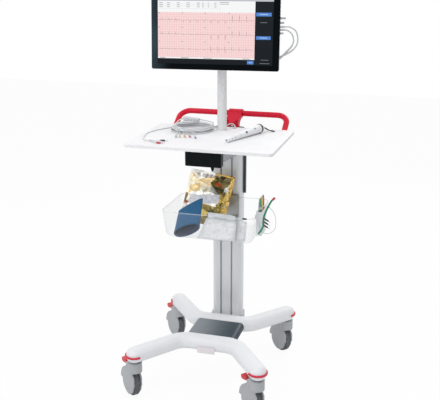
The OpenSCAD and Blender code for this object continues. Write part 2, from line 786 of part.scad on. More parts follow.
module post() {
  color("gainsboro") translate([0, post_y, 0]) {
    translate([0, 0, top_z]) cylinder(h = 4, r = post_r + 5);
    translate([0, 0, top_z]) cylinder(h = post_top - top_z, r = post_r);
    translate([0, 0, post_top]) cylinder(h = pivot_l, r = pivot_r);
    translate([0, 0, top_low - 2 * plate_t]) cylinder(h = top_t + 3 * plate_t, r = stud_r);
    translate([0, 0, top_low - 3 * plate_t]) cylinder(h = 2 * plate_t, r = stud_r + 6);
  }
}

// Places what turns with the monitor: origin on the post axis at the tilt height
module turned() {
  translate([0, post_y, monitor_z]) rotate([0, 0, monitor_turn]) children();
}

// Places what also leans: origin on the tilt axis
module leaning() {
  turned() translate([0, -tilt_reach, 0]) rotate([-monitor_lean, 0, 0]) children();
}

// Turning head on the post, with the knuckle of the tilt joint
module swivel_head() {
  low = post_top - monitor_z + gap;
  color("gainsboro") turned() difference() {
    union() {
      translate([0, 0, low]) cylinder(h = pivot_l + 8, r = head_r);
      translate([-knuckle_half, -tilt_reach, -knuckle_r]) cube([2 * knuckle_half, tilt_reach, 2 * knuckle_r]);
      translate([0, -tilt_reach, 0]) cyl_x(knuckle_r, 2 * knuckle_half);
    }
    translate([0, 0, low - 1]) cylinder(h = pivot_l + 1, r = pivot_r + fit);
    translate([0, -tilt_reach, 0]) cyl_x(tilt_pin_r + fit, 4 * knuckle_half);
  }
}

// Plate on the back of the monitor with the ears and pin of the tilt joint
module tilt_head() {
  color("gainsboro") leaning() {
    difference() {
      translate([0, vesa_y + vesa_t, 0]) rotate([90, 0, 0]) round_bar(vesa_w, vesa_w, vesa_t, 6);
      for (x = [-1, 1], z = [-1, 1]) translate([x * vesa_hole / 2, vesa_y, z * vesa_hole / 2]) cyl_y(2.5, 12);
    }
    for (s = [-1, 1]) translate([s * (knuckle_half + gap + ear_t / 2), 0, 0]) {
      cyl_x(knuckle_r, ear_t);
      translate([-ear_t / 2, vesa_y + vesa_t / 2, -knuckle_r]) cube([ear_t, -vesa_y - vesa_t / 2, 2 * knuckle_r]);
    }
    cyl_x(tilt_pin_r, 2 * (knuckle_half + gap) + ear_t);
  }
}

// Centres a monitor part behind the screen image; extrusions run to the rear
module screen_frame(y) {
  leaning() translate([monitor_shift, y, 0]) rotate([90, 0, 0]) mirror([0, 0, 1]) children();
}

module case_outline(grow = 0) {
  translate([0, case_low + case_h / 2]) round_rect(case_w + 2 * grow, case_h + 2 * grow, case_r + grow);
}

module monitor_back() {
  t = monitor_t - bezel_t;
  color("whitesmoke") screen_frame(shell_y) difference() {
    union() {
      linear_extrude(t - 4) case_outline();
      translate([0, 0, t - 4]) linear_extrude(2) case_outline(-2);
      translate([0, 0, t - 2]) linear_extrude(2) case_outline(-5);
      translate([0, 0, t]) linear_extrude(hump_t - 3) round_rect(hump_w, hump_h, 18);
      translate([0, 0, t + hump_t - 3]) linear_extrude(3) round_rect(hump_w - 8, hump_h - 8, 14);
    }
    translate([0, 0, -1]) linear_extrude(t - case_wall) case_outline(-case_wall);
    // cooling slots in the hump
    for (x = [-6:6], s = [-1, 1]) translate([x * 18 - 2, s * hump_h * 0.38 - 10, t + hump_t - 4]) cube([4, 20, 6]);
  }
}

module monitor_bezel() {
  color("black") screen_frame(screen_y) difference() {
    union() {
      translate([0, 0, 1]) linear_extrude(bezel_t - 1) case_outline();
      linear_extrude(1) case_outline(-1);
    }
    translate([0, 0, -1]) linear_extrude(bezel_t + 2) square([screen_w, screen_h], center = true);
  }
}

module screen_panel() {
  color("mistyrose") screen_frame(screen_y) {
    translate([-screen_w / 2 + seat, -screen_h / 2 + seat, 0.6]) cube([screen_w - 2 * seat, screen_h - 2 * seat, bezel_t - 0.6]);
    translate([-screen_w / 2 - 6, -screen_h / 2 - 6, bezel_t]) cube([screen_w + 12, screen_h + 12, panel_t]);
  }
}

// Plugs in the side of the monitor, two cables that loop round to the back, and their clip
module monitor_cables() {
  side = case_w / 2 + monitor_shift;
  plug_y = shell_y + 8;
  leaning() {
    color("dimgray") for (p = [[54, 18, 6], [36, 14, 5], [-7, 12, 5]])
      translate([side + p[1] / 2, plug_y, p[0]]) cube([p[1], 10, p[2] * 2], center = true);
    color("gainsboro") {
      for (p = cable_plugs) translate([side + 10, plug_y, p]) cyl_x(4.2, 20);
      tube([for (p = outer_loop) [side + p[0], plug_y + p[1], p[2]]], 2.5);
      tube([for (p = inner_loop) [side + p[0], plug_y + p[1], p[2]]], 2.5);
      translate([side - 20, hump_y + 11, -118]) cube([14, 22, 26], center = true);
    }
  }
}

// ---------------------------------------------------------------- basket

// The moulded tub: round floor corners below, the plan outline at the rim
module tub(inset) {
  w = basket_w / 2 - inset;
  d = basket_d / 2 - inset;
  r = basket_low_r - inset;
  hull() {
    translate([0, 0, basket_z - 1]) round_bar(2 * w, 2 * d, inset > 0 ? 2 : 1, basket_r - inset, $fn = 32);
    for (x = [-1, 1], y = [-1, 1])
      translate([x * (w - basket_in - r), y * (d - basket_in - r), basket_low + inset + r]) sphere(r, $fn = 32);
  }
}

module basket() {
  color("aliceblue", 0.4) translate([0, basket_mid, 0]) {
    difference() {
      tub(0);
      tub(basket_wall);
    }
    translate([0, 0, basket_z]) difference() {
      round_bar(basket_w, basket_d, 3, basket_r);
      translate([0, 0, -1]) round_bar(basket_w - 2 * basket_lip, basket_d - 2 * basket_lip, 5, basket_r - basket_lip);
    }
  }
}

// Steel hanger: a plate screwed to the slots, hooked over the rear rim
module basket_hook() {
  rim_y = basket_mid + basket_d / 2;
  rest_in = basket_in * (basket_h - 24) / (basket_h - basket_low_r) - seat;
  color("gainsboro") {
    translate([-60, column_y - 4, basket_low + 12]) cube([120, 4, basket_h]);
    for (s = [-1, 1]) translate([s * 38 - 14, 0, 0]) {
      translate([0, rim_y - basket_lip - 3 - seat, basket_z + 3 + seat]) cube([28, column_y - rim_y + basket_lip + 3 + seat, 3]);
      translate([0, rim_y - basket_lip - 3 - seat, basket_z - 8]) cube([28, 3, 12]);
      translate([0, rim_y - rest_in, basket_low + 18]) cube([28, column_y - 4 - rim_y + rest_in, 6]);
    }
    for (s = [-1, 1], z = [basket_z - 40]) translate([s * slot_x, column_y - 4, z]) rotate([90, 0, 0]) screw(4);
  }
}

// Foil pouch of conductive wipes, leaning back in the basket
module foil_pouch() {
  color("goldenrod") translate([-72, 4, basket_low + basket_wall + 19.4]) rotate([-20, 8, 0]) rotate([90, 0, 0])
    linear_extrude(32, center = true) polygon([[-98, 0], [98, 0], [104, 110], [102, 236], [-100, 236], [-104, 110]]);
}

// Blood-pressure cuff rolled up with its tail standing
module cuff_roll() {
  color("steelblue") translate([0, -84, 0]) rotate([90, 0, 0]) linear_extrude(60)
    polygon([[-150, 694], [-132, 792], [-28, 858], [-26, 742], [-46, 712], [-76, 694]]);
}

// Flat paper packs standing on edge
module sterile_packs() {
  color("white") {
    translate([52, -125, basket_low + basket_wall + 0.4]) rotate([0, 2, 2]) translate([-64, -9, 2.6]) cube([128, 18, 112]);
    translate([70, -98, basket_low + basket_wall + 0.2]) rotate([0, 4, -3]) translate([-62, -10, 5]) cube([134, 20, 96]);
  }
}

// Pocket on the right wall of the basket for the limb clamps
module electrode_rack() {
  color("whitesmoke") translate([rack_x, rack_y - rack_l / 2, basket_z + 26 - rack_h]) {
    difference() {
      cube([rack_w, rack_l, rack_h]);
      translate([rack_wall, rack_wall, rack_wall]) cube([rack_w - 2 * rack_wall, rack_l - 2 * rack_wall, rack_h]);
    }
    // clips over the rim of the basket
    for (y = [10, rack_l - 26]) translate([-seat - basket_lip - 3, y, rack_h - 22]) {
      translate([0, 0, 0]) cube([basket_lip + 3 + seat, 16, 2.5]);
      translate([0, 0, -12]) cube([2.5, 16, 12]);
    }
  }
}

// Places one limb clamp by its number: 0 to 2 from the front, fanned to the rear
module clamp_place(i) {
  translate([rack_x + rack_w / 2, rack_y + (i - 1) * clamp_pitch, clamp_z]) rotate([-5 * i, 0, 0]) children();
}

// One arm of a clamp on the +X side: a bent strip seen from the side, cut to a paddle seen from the front
module clamp_arm() {
  x = clamp_bush_r + gap;
  t = clamp_t;
  intersection() {
    rotate([90, 0, 0]) linear_extrude(16, center = true)
      polygon([[x, -8], [x + 1.6, -clamp_low], [x + 1.6 + t, -clamp_low], [x + t, 8], [x + t - 0.6, 20], [4.6, clamp_jaw - 14],
               [2.6, clamp_jaw], [gap, clamp_jaw], [gap, clamp_jaw - 4], [1.6, clamp_jaw - 16], [x - 0.6, 20], [x, 8]]);
    rotate([90, 0, 90]) linear_extrude(16)
      polygon([[-4, -clamp_low], [4, -clamp_low], [5, -30], [7.5, -8], [7.5, 8], [5.5, 18], [7.8, clamp_jaw - 24],
               [3, clamp_jaw], [-3, clamp_jaw], [-7.8, clamp_jaw - 24], [-5.5, 18], [-7.5, 8], [-7.5, -8], [-5, -30]]);
  }
}

// Fixed arms of the limb clamps, each with its pivot pin in two lugs
module clamp_arms() {
  color("lightgray") for (i = [0:2]) clamp_place(i) {
    mirror([1, 0, 0]) clamp_arm();
    for (s = [-1, 1]) translate([0, s * 5.6, 0]) {
      cyl_y(clamp_bush_r, 2.4);
      translate([-2.5, 0, 0]) cube([5, 2.4, 2 * clamp_bush_r], center = true);
    }
    cyl_y(clamp_pin_r, 13.6);
  }
}

// Sprung arm of a clamp, with its bush on the pin
module clamp_lever(i, c) {
  color(c) clamp_place(i) difference() {
    union() {
      clamp_arm();
      cyl_y(clamp_bush_r, 8);
      translate([2.5, 0, 0]) cube([5, 8, 2 * clamp_bush_r], center = true);
    }
    cyl_y(clamp_pin_r + fit, 20);
  }
}

module clamp_lever_green() { clamp_lever(0, "seagreen"); }
module clamp_lever_yellow() { clamp_lever(1, "gold"); }
module clamp_lever_red() { clamp_lever(2, "tomato"); }

// ---------------------------------------------------------------- handset

handset_rise = asin((handset_r + band_t - mouth_r) / (band_at - mouth_l));

// Places the handset: z runs from the mouthpiece along its axis
module handset_place() {
  translate([handset_x, handset_y, top_z + mouth_r + 0.2]) rotate([0, 0, handset_turn]) rotate([0, 90 - handset_rise, 0])
    children();
}

// Places the button on the flank of the handset, z outwards
module button_place() {
  handset_place() translate([0, 0, button_at]) rotate([0, 0, -90 - button_up]) rotate([0, 90, 0])
    translate([0, 0, handset_skin(button_at)]) children();
}

function handset_skin(z) = mouth_r + (handset_r - mouth_r) * min(1, (z - mouth_l) / (band_at - mouth_l));

module handset_body() {
  color("white") difference() {
    handset_place() {
      difference() {
        rotate_extrude() polygon([[5, 0], [mouth_r - 1, 0], [mouth_r, 1], [mouth_r, mouth_l], [handset_skin(60), 60],
          [handset_skin(62), 62], [handset_r, band_at], [handset_r, handset_l - 5], [handset_r - 5, handset_l],
          [0, handset_l], [0, 40], [5, 40]]);
        for (z = [64, 72]) translate([0, 0, z]) ring(handset_r + 2, handset_skin(z) - 0.6, 1.2);
      }
      translate([0, 0, handset_l - 1]) cylinder(h = 7, r = 5);
    }
    button_place() translate([0, 0, -9]) cylinder(h = 12, r = button_r + fit);
  }
}

module handset_band() {
  color("black") handset_place() translate([0, 0, band_at]) ring(handset_r + band_t, handset_r, band_l);
}

module handset_button() {
  color("black") button_place() {
    translate([0, 0, -button_h]) cylinder(h = button_h + 1.2, r = button_r);
    translate([0, 0, 1.2]) cylinder(h = 0.8, r = button_r - 0.8);
  }
}

module wrist_cord() {
  color("black") tube(wrist_route, 1.5, 8, 1);
}

// ---------------------------------------------------------------- patient leads

// Outer shape of the coiled patient cable on the worktop
module patient_coil() {
  color("gainsboro") translate([coil_x, coil_y, top_z]) rotate_extrude() translate([(coil_r + coil_in) / 2, coil_h / 2])
    round_rect(coil_r - coil_in, coil_h, 8);
}

module patient_trunk() {
  color("dimgray") {
    tube(trunk_route, trunk_d / 2, 8, 2);
    tube(lead_route, trunk_d / 2, 8, 2);
  }
}

// A lead plug lying along x, with its pin
module lead_plug(c, l = 16) {
  color(c) cyl_x(3.4, l);
  color("silver") translate([l / 2 + 5, 0, 0]) cyl_x(1.6, 10);
}

// Trunk gland, branching block and the plugs on the leads
module lead_fittings() {
  color("dimgray") translate([trunk_exit[0], trunk_exit[1], top_z - 7]) {
    ring(gland_r, trunk_d / 2 + 2 * seat, 7);
    translate([0, 0, 7]) ring(gland_r + 3, trunk_d / 2 + 2 * seat, 3);
  }
  color("gray") translate([coil_x - 34, coil_y + coil_r - 14, top_z + coil_h]) rotate([0, 0, 4]) {
    translate([0, 0, 0]) round_bar(74, 34, 12, 8);
    translate([0, 0, 12]) round_bar(70, 30, 3, 6);
  }
  color("dimgray") translate([-217.4, -221.6, top_z]) round_bar(10, 12, 7.5, 2);
  for (i = [0:2]) let(p = tail_a[i][3]) translate([p[0] + plug_l / 2, p[1], p[2]])
    lead_plug(["black", "gainsboro", "crimson"][i], plug_l);
  for (i = [0:4]) let(p = tail_b[i][2], q = p - tail_b[i][1]) translate(p) rotate([0, 0, atan2(q[1], q[0])])
    translate([plug_l / 2, 0, 0]) lead_plug(["seagreen", "gold", "orange", "crimson", "mediumpurple"][i], plug_l);
  for (i = [0:2]) translate([254.8 - 1.5 * i, -148, 800 - 14 * i]) rotate([0, 30, 0]) lead_plug("black", 18);
}

module lead_tails() {
  color("gainsboro") {
    for (t = tail_a) tube(t, lead_d / 2, 8, 1);
    for (t = tail_b) tube(t, lead_d / 2, 8, 1);
  }
}

module lead_loop() {
  color("lightgray") tube(loop_route, lead_d / 2, 8, 1);
  color("seagreen") tube(strap_route, 4, 8, 1);
}

front_beam();
rear_beam();
base_frame();
saddle_cover();
bumper_rings();
caster_stems();
housing_fl();
housing_fr();
housing_rl();
housing_rr();
axle_fl();
axle_fr();
axle_rl();
axle_rr();
hub_fl();
hub_fr();
hub_rl();
hub_rr();
tyre_fl();
tyre_fr();
tyre_rl();
tyre_rr();
pedal_fl();
pedal_fr();
pedal_rl();
pedal_rr();
column();
column_trim();
worktop_console();
worktop();
screws();
power_box();
handle_tube();
handle_bracket();
post();
swivel_head();
tilt_head();
monitor_back();
monitor_bezel();
screen_panel();
monitor_cables();
basket();
basket_hook();
foil_pouch();
cuff_roll();
sterile_packs();
electrode_rack();
clamp_arms();
clamp_lever_green();
clamp_lever_yellow();
clamp_lever_red();
handset_body();
handset_band();
handset_button();
wrist_cord();
patient_coil();
patient_trunk();
lead_fittings();
lead_tails();
lead_loop();
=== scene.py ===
# Finish of an ECG machine on its ward trolley: camera, patient leads, monitor picture,
# accessory basket with its soft goods, and a made material for every part.
# Metres, +Z up, +Y to the rear, origin on the floor midway between the casters.
import math

import bmesh
import bpy
from mathutils import Matrix, Vector, noise


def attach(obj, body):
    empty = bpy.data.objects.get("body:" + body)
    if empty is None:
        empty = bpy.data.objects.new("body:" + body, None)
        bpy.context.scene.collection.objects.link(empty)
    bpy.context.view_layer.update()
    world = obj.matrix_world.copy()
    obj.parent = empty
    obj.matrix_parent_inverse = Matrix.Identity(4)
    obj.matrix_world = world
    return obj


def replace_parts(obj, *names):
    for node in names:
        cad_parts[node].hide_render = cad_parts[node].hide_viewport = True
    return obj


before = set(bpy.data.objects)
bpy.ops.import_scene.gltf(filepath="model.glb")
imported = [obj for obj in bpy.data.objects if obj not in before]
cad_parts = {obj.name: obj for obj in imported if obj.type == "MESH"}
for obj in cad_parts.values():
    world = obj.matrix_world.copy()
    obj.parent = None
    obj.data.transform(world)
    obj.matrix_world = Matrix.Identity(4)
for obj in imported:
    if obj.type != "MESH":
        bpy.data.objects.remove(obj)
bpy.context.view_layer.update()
MM = 0.001
TAU = 2 * math.pi

# ------------------------------------------------------------ camera and light

RENDER_W, FOCAL_PX = 440, 792.86
CAMERA_PLACE = (0.92836, -3.1616, 1.82628)
CAMERA_DIP, CAMERA_TURN = 0.296, 0.282
LAMPS = {"window_light": ((-1.6, -2.6, 3.2), 2.4, 38), "ceiling_light": ((0.1, -0.9, 3.4), 2.4, 19),
         "rear_light": ((0.6, 2.8, 2.4), 2.0, 26)}
LAMP_TARGET = Vector((0, 0, 0.9))


def placed(name, data):
    """A new object in the scene."""
    piece = bpy.data.objects.new(name, data)
    bpy.context.scene.collection.objects.link(piece)
    return piece


def add_camera():
    data = bpy.data.cameras.new("ward_camera")
    data.sensor_width = 36
    data.lens = FOCAL_PX / RENDER_W * data.sensor_width
    camera = placed("ward_camera", data)
    camera.location = CAMERA_PLACE
    camera.rotation_euler = (math.pi / 2 - CAMERA_DIP, 0, CAMERA_TURN)
    bpy.context.scene.camera = camera


def add_lamps():
    """Area lamps, each from its place, its size and its watts."""
    for name, (place, size, watts) in LAMPS.items():
        data = bpy.data.lights.new(name, "AREA")
        data.size, data.energy = size, watts
        lamp = placed(name, data)
        lamp.location = place
        lamp.rotation_euler = (LAMP_TARGET - Vector(place)).to_track_quat("-Z", "Y").to_euler()


add_camera()
add_lamps()
bpy.context.scene.view_settings.view_transform = "Standard"


# ------------------------------------------------------------ building materials

def tone(red, green, blue):
    """The shader colour of an everyday 0-255 colour."""
    return tuple(((c / 255 + 0.055) / 1.055) ** 2.4 if c > 10 else c / 3295
                 for c in (red, green, blue)) + (1.0,)


def shade(color, factor):
    return tuple(min(1.0, c * factor) for c in color[:3]) + (1.0,)


class Field:
    """A value that varies over a surface; its operators add Math nodes."""

    def __init__(self, finish, socket):
        self.finish, self.socket = finish, socket

    def between(self, low, high):
        return (self > low) * (self < high)

    def ramp(self, low, high):
        """0 below low, 1 above high, smooth between them."""
        return self.finish.node("MapRange", {"interpolation_type": "SMOOTHSTEP", "clamp": True},
                                {0: self, 1: low, 2: high, 3: 0.0, 4: 1.0})


def add_operator(sign, operation, swapped=False):
    def apply(self, *other):
        values = (self, *other)
        return self.finish.math(operation, *(values[::-1] if swapped else values))
    setattr(Field, "__%s__" % sign, apply)


for sign, operation in {"add": "ADD", "radd": "ADD", "sub": "SUBTRACT", "mul": "MULTIPLY", "rmul": "MULTIPLY",
                        "mod": "FLOORED_MODULO", "gt": "GREATER_THAN", "lt": "LESS_THAN",
                        "abs": "ABSOLUTE"}.items():
    add_operator(sign, operation)
add_operator("rsub", "SUBTRACT", swapped=True)


class Finish:
    """One material being made: a Principled shader and the nodes that feed it."""

    def __init__(self, name, color, roughness=0.5, **constants):
        self.material = bpy.data.materials.new(name)
        self.material.use_nodes = True
        self.tree = self.material.node_tree
        self.shader = self.tree.nodes["Principled BSDF"]
        self.feed({"Base Color": color, "Roughness": roughness})
        self.feed({key.replace("_", " ").title().replace("Ior", "IOR"): value
                   for key, value in constants.items()})

    def put(self, socket, value):
        if isinstance(value, Field):
            self.tree.links.new(value.socket, socket)
        else:
            socket.default_value = value

    def feed(self, values):
        for name, value in values.items():
            self.put(self.shader.inputs[name], value)

    def done(self, color, roughness, normal):
        """The material, its last three inputs fed."""
        self.feed({"Base Color": color, "Roughness": roughness, "Normal": normal})
        return self.material

    def node(self, kind, settings=None, inputs=None, output=0):
        node = self.tree.nodes.new("ShaderNode" + kind)
        for key, value in (settings or {}).items():
            setattr(node, key, value)
        for key, value in (inputs or {}).items():
            self.put(node.inputs[key], value)
        return Field(self, node.outputs[output])

    def math(self, operation, *values):
        return self.node("Math", {"operation": operation}, dict(enumerate(values)))

    def larger(self, first, second):
        return self.math("MAXIMUM", first, second)

    def mix(self, factor, first, second):
        return self.node("Mix", {"data_type": "RGBA", "clamp_factor": True}, {0: factor, 6: first, 7: second}, 2)

    def place(self, centre=(0, 0, 0), turn=(0, 0, 0), scale=(1, 1, 1), source="Object"):
        """Coordinates on the piece, measured from a centre along turned and scaled axes."""
        origin = self.node("TexCoord", output={"Object": 3, "UV": 2}[source])
        return self.node("Mapping", {"vector_type": "TEXTURE"},
                         {"Vector": origin, "Location": centre, "Rotation": turn, "Scale": scale})

    def axes(self, place):
        """The three parts of a place or of a colour."""
        split = self.node("SeparateXYZ", inputs={0: place})
        return [Field(self, socket) for socket in split.socket.node.outputs]

    def noise(self, scale, detail=3, at=None, roughness=0.55, distortion=0.0):
        return self.node("TexNoise", inputs={"Vector": at or self.place(), "Scale": scale, "Detail": detail,
                                             "Roughness": roughness, "Distortion": distortion})

    def bump(self, height, distance, strength=1.0, under=None):
        inputs = {"Height": height, "Distance": distance, "Strength": strength}
        if under is not None:
            inputs["Normal"] = under
        return self.node("Bump", inputs=inputs)


def moulded(name, color, roughness=0.42, grain=0.00006, grain_scale=1300, **constants):
    """Moulded plastic: fine spark-eroded grain, slightly uneven gloss, faint handling marks."""
    finish = Finish(name, color, roughness, **constants)
    broad = finish.noise(9, 4)
    marks = finish.noise(46, 6, roughness=0.7).ramp(0.56, 0.7)
    return finish.done(finish.mix(broad * 0.7 + marks * 0.25, shade(color, 1.03), shade(color, 0.9)),
                       broad * 0.16 + marks * 0.08 + (roughness - 0.1),
                       finish.bump(finish.noise(grain_scale, 2), grain))


def coated(name, color, roughness=0.36, dust=0.0, dust_top=0.2):
    """Powder coat: orange peel, soft gloss, and dust that gathers towards the floor."""
    finish = Finish(name, color, roughness, coat_weight=0.04, coat_roughness=0.3, specular_ior_level=0.28)
    peel = finish.noise(420, 2)
    broad = finish.noise(6, 4)
    scuffs = finish.noise(30, 8, roughness=0.75).ramp(0.6, 0.72)
    height = finish.axes(finish.place())[2]
    soil = (1 - height.ramp(0.05, dust_top)) * dust * (finish.noise(24, 5) + 0.4) + scuffs * 0.12
    clean = finish.mix(broad, shade(color, 1.03), shade(color, 0.95))
    return finish.done(finish.mix(soil, clean, tone(142, 138, 130)),
                       broad * 0.12 + scuffs * 0.15 + (roughness - 0.06),
                       finish.bump(peel, 0.00012))


def metal(name, color, roughness=0.3, streak=(1, 1, 1), depth=0.00002):
    """Worked metal: fine lines along the direction in which streak is large, and dull patches."""
    finish = Finish(name, color, roughness, metallic=1.0)
    lines = finish.noise(900, 3, at=finish.place(scale=streak))
    patches = finish.noise(14, 4)
    return finish.done(finish.mix(patches * 0.6 + lines * 0.4, shade(color, 1.05), shade(color, 0.82)),
                       lines * 0.18 + patches * 0.12 + (roughness - 0.15),
                       finish.bump(lines, depth))


def rubber(name, color, roughness=0.62, dust=0.3):
    """Rubber: soft sheen, bloom and floor dust in patches."""
    finish = Finish(name, color, roughness)
    bloom = finish.noise(34, 6, roughness=0.7)
    return finish.done(finish.mix(bloom.ramp(0.4, 0.75) * dust, color, tone(150, 148, 142)),
                       bloom * 0.25 + (roughness - 0.12),
                       finish.bump(finish.noise(700, 3), 0.0001))


def sheathed(name, color, roughness=0.4, coat=0.15):
    """Cable sheath: smooth extruded plastic with a slightly dusty, uneven gloss."""
    finish = Finish(name, color, roughness, coat_weight=coat, coat_roughness=0.3)
    broad = finish.noise(60, 5)
    return finish.done(finish.mix(broad, shade(color, 1.04), shade(color, 0.84)),
                       broad * 0.2 + (roughness - 0.08),
                       finish.bump(finish.noise(900, 2), 0.00003))


def column_finish():
    """Anodised extrusion: fine drawing lines up the column and a soft grey bloom."""
    finish = Finish("anodised_column", tone(214, 216, 217), 0.4, metallic=0.3)
    lines = finish.noise(700, 4, at=finish.place(scale=(1, 1, 60)))
    bands = finish.noise(60, 3, at=finish.place(scale=(1, 1, 400)))
    patches = finish.noise(5, 4)
    return finish.done(finish.mix(lines * 0.5 + bands * 0.5, tone(234, 236, 237), tone(212, 214, 216)),
                       lines * 0.14 + patches * 0.1 + 0.24,
                       finish.bump(lines, 0.00002))


def saddle_finish():
    """Satin dark cover with faint wiping marks, its colour painted paler towards its left side and darker to its
    right as painted light and shade.
    """
    finish = Finish("satin_cover", tone(50, 66, 74), 0.34, specular_ior_level=0.3)
    wipes = finish.noise(14, 5, at=finish.place(turn=(0, 0, 0.5), scale=(3, 1, 1)), roughness=0.6)
    # Painted light and shade: the colour runs from pale at the left side to dark at the right.
    across = finish.axes(finish.place())[0].ramp(-0.10, 0.09)
    return finish.done(finish.mix(across + (wipes - 0.5) * 0.25, tone(128, 136, 142), tone(38, 56, 66)),
                       wipes * 0.12 + 0.28,
                       finish.bump(finish.noise(9, 2), 0.0004))


def clear_finish(name, alpha, edge):
    """Clear moulded polycarbonate: almost unseen face on, milky towards its edges and scratches, its colour painted
    greyer at grazing angles as painted shade.
    """
    finish = Finish(name, tone(240, 243, 245), 0.14, specular_ior_level=0.3)
    haze = finish.noise(18, 5, roughness=0.65)
    scratches = finish.noise(240, 4, at=finish.place(turn=(0.3, 0.2, 0.6), scale=(1, 9, 1))).ramp(0.62, 0.75)
    grazing = finish.node("LayerWeight", inputs={"Blend": 0.3}, output=1)
    finish.feed({"Alpha": haze * 0.012 + scratches * 0.02 + grazing * edge + (alpha - 0.006)})
    # Painted shade: the colour turns grey where the wall is seen at a grazing angle.
    return finish.done(finish.mix(grazing, tone(246, 248, 249), tone(196, 203, 208)),
                       haze * 0.14 + 0.07, finish.bump(finish.noise(40, 3), 0.0002))


def handset_finish():
    """White nylon with the moulded rings of the mouthpiece and a small grey mark beside the band."""
    finish = Finish("handset_white_plastic", tone(236, 238, 239), 0.36)
    from_tip = finish.place(centre=(0.086, -0.160, 1.1252), turn=(0, math.radians(87.2), math.radians(69)))
    side, up, reach = finish.axes(from_tip)
    rings = reach.between(0.028, 0.0295) + reach.between(0.048, 0.0496) + reach.between(0.086, 0.0872)
    mark = reach.between(0.178, 0.190) * side.between(-0.05, 0) * up.between(-0.014, -0.009)
    broad = finish.noise(9, 4)
    clean = finish.mix(broad, tone(240, 241, 242), tone(226, 228, 230))
    return finish.done(finish.mix(rings * 0.75 + mark * 0.6, clean, tone(104, 108, 112)),
                       broad * 0.14 + 0.28,
                       finish.bump(rings * -1.0 + finish.noise(1300, 2) * 0.1, 0.0005))


# ------------------------------------------------------------ building meshes

def finished_piece(name, mesh, body, slot, *materials, smooth=40, replaced=None, edge=0.0, segments=2):
    """Turns a bmesh into a piece on a body, its edges softened by edge millimetres, for a node it replaces."""
    data = bpy.data.meshes.new(name)
    mesh.to_mesh(data)
    mesh.free()
    for material in materials:
        data.materials.append(material)
    if smooth:
        data.shade_smooth()
        if smooth < 180:
            data.set_sharp_from_angle(angle=math.radians(smooth))
    piece = placed(name, data)
    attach(piece, body)
    if edge:
        bevelled(piece, edge * MM, segments)
    if replaced:
        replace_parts(piece, replaced)
    return piece


def bevelled(piece, width, segments, angle=35):
    modifier = piece.modifiers.new("soft_edges", "BEVEL")
    modifier.width, modifier.segments = width, segments
    modifier.limit_method, modifier.angle_limit = "ANGLE", math.radians(angle)
    modifier.harden_normals = True


def moved(mesh, matrix):
    bmesh.ops.transform(mesh, matrix=matrix, verts=mesh.verts)
    return mesh


def rounded(mesh, edges, radius, segments):
    bmesh.ops.bevel(mesh, geom=edges, affect="EDGES", offset=radius, segments=segments, profile=0.5, material=-1)


def box(centre, size, corner=0.0, axis=2, segments=6):
    """A box, its four edges along one axis rounded."""
    mesh = bmesh.new()
    bmesh.ops.create_cube(mesh, size=1.0)
    bmesh.ops.scale(mesh, vec=size, verts=mesh.verts)
    if corner:
        edges = [edge for edge in mesh.edges
                 if abs((edge.verts[0].co - edge.verts[1].co).normalized()[axis]) > 0.9]
        rounded(mesh, edges, corner, segments)
    return moved(mesh, Matrix.Translation(centre))


def turned(outline, place, steps=24, material_at=None):
    """An outline of (radius, height) in millimetres, spun about +Z and put in its place."""
    mesh = bmesh.new()
    verts = [mesh.verts.new((radius * MM, 0, height * MM)) for radius, height in outline]
    edges = [mesh.edges.new(pair) for pair in zip(verts, verts[1:])]
    bmesh.ops.spin(mesh, geom=verts + edges, axis=(0, 0, 1), cent=(0, 0, 0), steps=steps, angle=TAU,
                   use_merge=True)
    bmesh.ops.remove_doubles(mesh, verts=mesh.verts, dist=1e-6)
    bmesh.ops.recalc_face_normals(mesh, faces=mesh.faces)
    if material_at:
        for face in mesh.faces:
            face.material_index = material_at(face.calc_center_median().z)
    return moved(mesh, place)


def turn(degrees, axis):
    return Matrix.Rotation(math.radians(degrees), 4, axis)


def joined(*parts):
    """Several meshes as one."""
    whole = bmesh.new()
    for part in parts:
        data = bpy.data.meshes.new("part")
        part.to_mesh(data)
        part.free()
        whole.from_mesh(data)
        bpy.data.meshes.remove(data)
    return whole


def along(start, direction):
    """A place whose +Z runs along a direction."""
    return Matrix.Translation(start) @ Vector(direction).to_track_quat("Z", "Y").to_matrix().to_4x4()


def metres(points):
    return [Vector(point) * MM for point in points]


def flowing(points, steps=2):
    """A smooth line through points: each span is cut into steps on a Catmull-Rom curve."""
    line = []
    for i in range(len(points) - 1):
        before, start = points[max(i - 1, 0)], points[i]
        end, after = points[i + 1], points[min(i + 2, len(points) - 1)]
        for k in range(steps):
            t = k / steps
            line.append(0.5 * (2 * start + (end - before) * t
                               + (2 * before - 5 * start + 4 * end - after) * t * t
                               + (3 * start - before - 3 * end + after) * t ** 3))
    return line + [points[-1]]


def tube_piece(name, line, diameter, material, body="trolley"):
    """A cable as a curve with a round bevel, through every point of a line."""
    data = bpy.data.curves.new(name, "CURVE")
    data.dimensions = "3D"
    data.bevel_depth, data.bevel_resolution = diameter / 2, 3
    data.use_fill_caps = True
    spline = data.splines.new("POLY")
    spline.points.add(len(line) - 1)
    for point, place in zip(spline.points, line):
        point.co = (*place, 1.0)
    spline.use_smooth = True
    data.materials.append(material)
    piece = placed(name, data)
    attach(piece, body)
    return piece


def free_cord(name, line, diameter, material, slot, replaced, digits=3, **says):
    """A cable as a round tube along its line, in place of the nodes it replaces."""
    piece = tube_piece(name, line, diameter, material)
    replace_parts(piece, *replaced)


# ------------------------------------------------------------ materials

SIGNAL = {"black": tone(30, 31, 33), "pale": tone(214, 216, 218), "red": tone(196, 28, 50),
          "green": tone(36, 132, 92), "yellow": tone(226, 186, 44), "orange": tone(222, 122, 40),
          "violet": tone(122, 86, 160)}

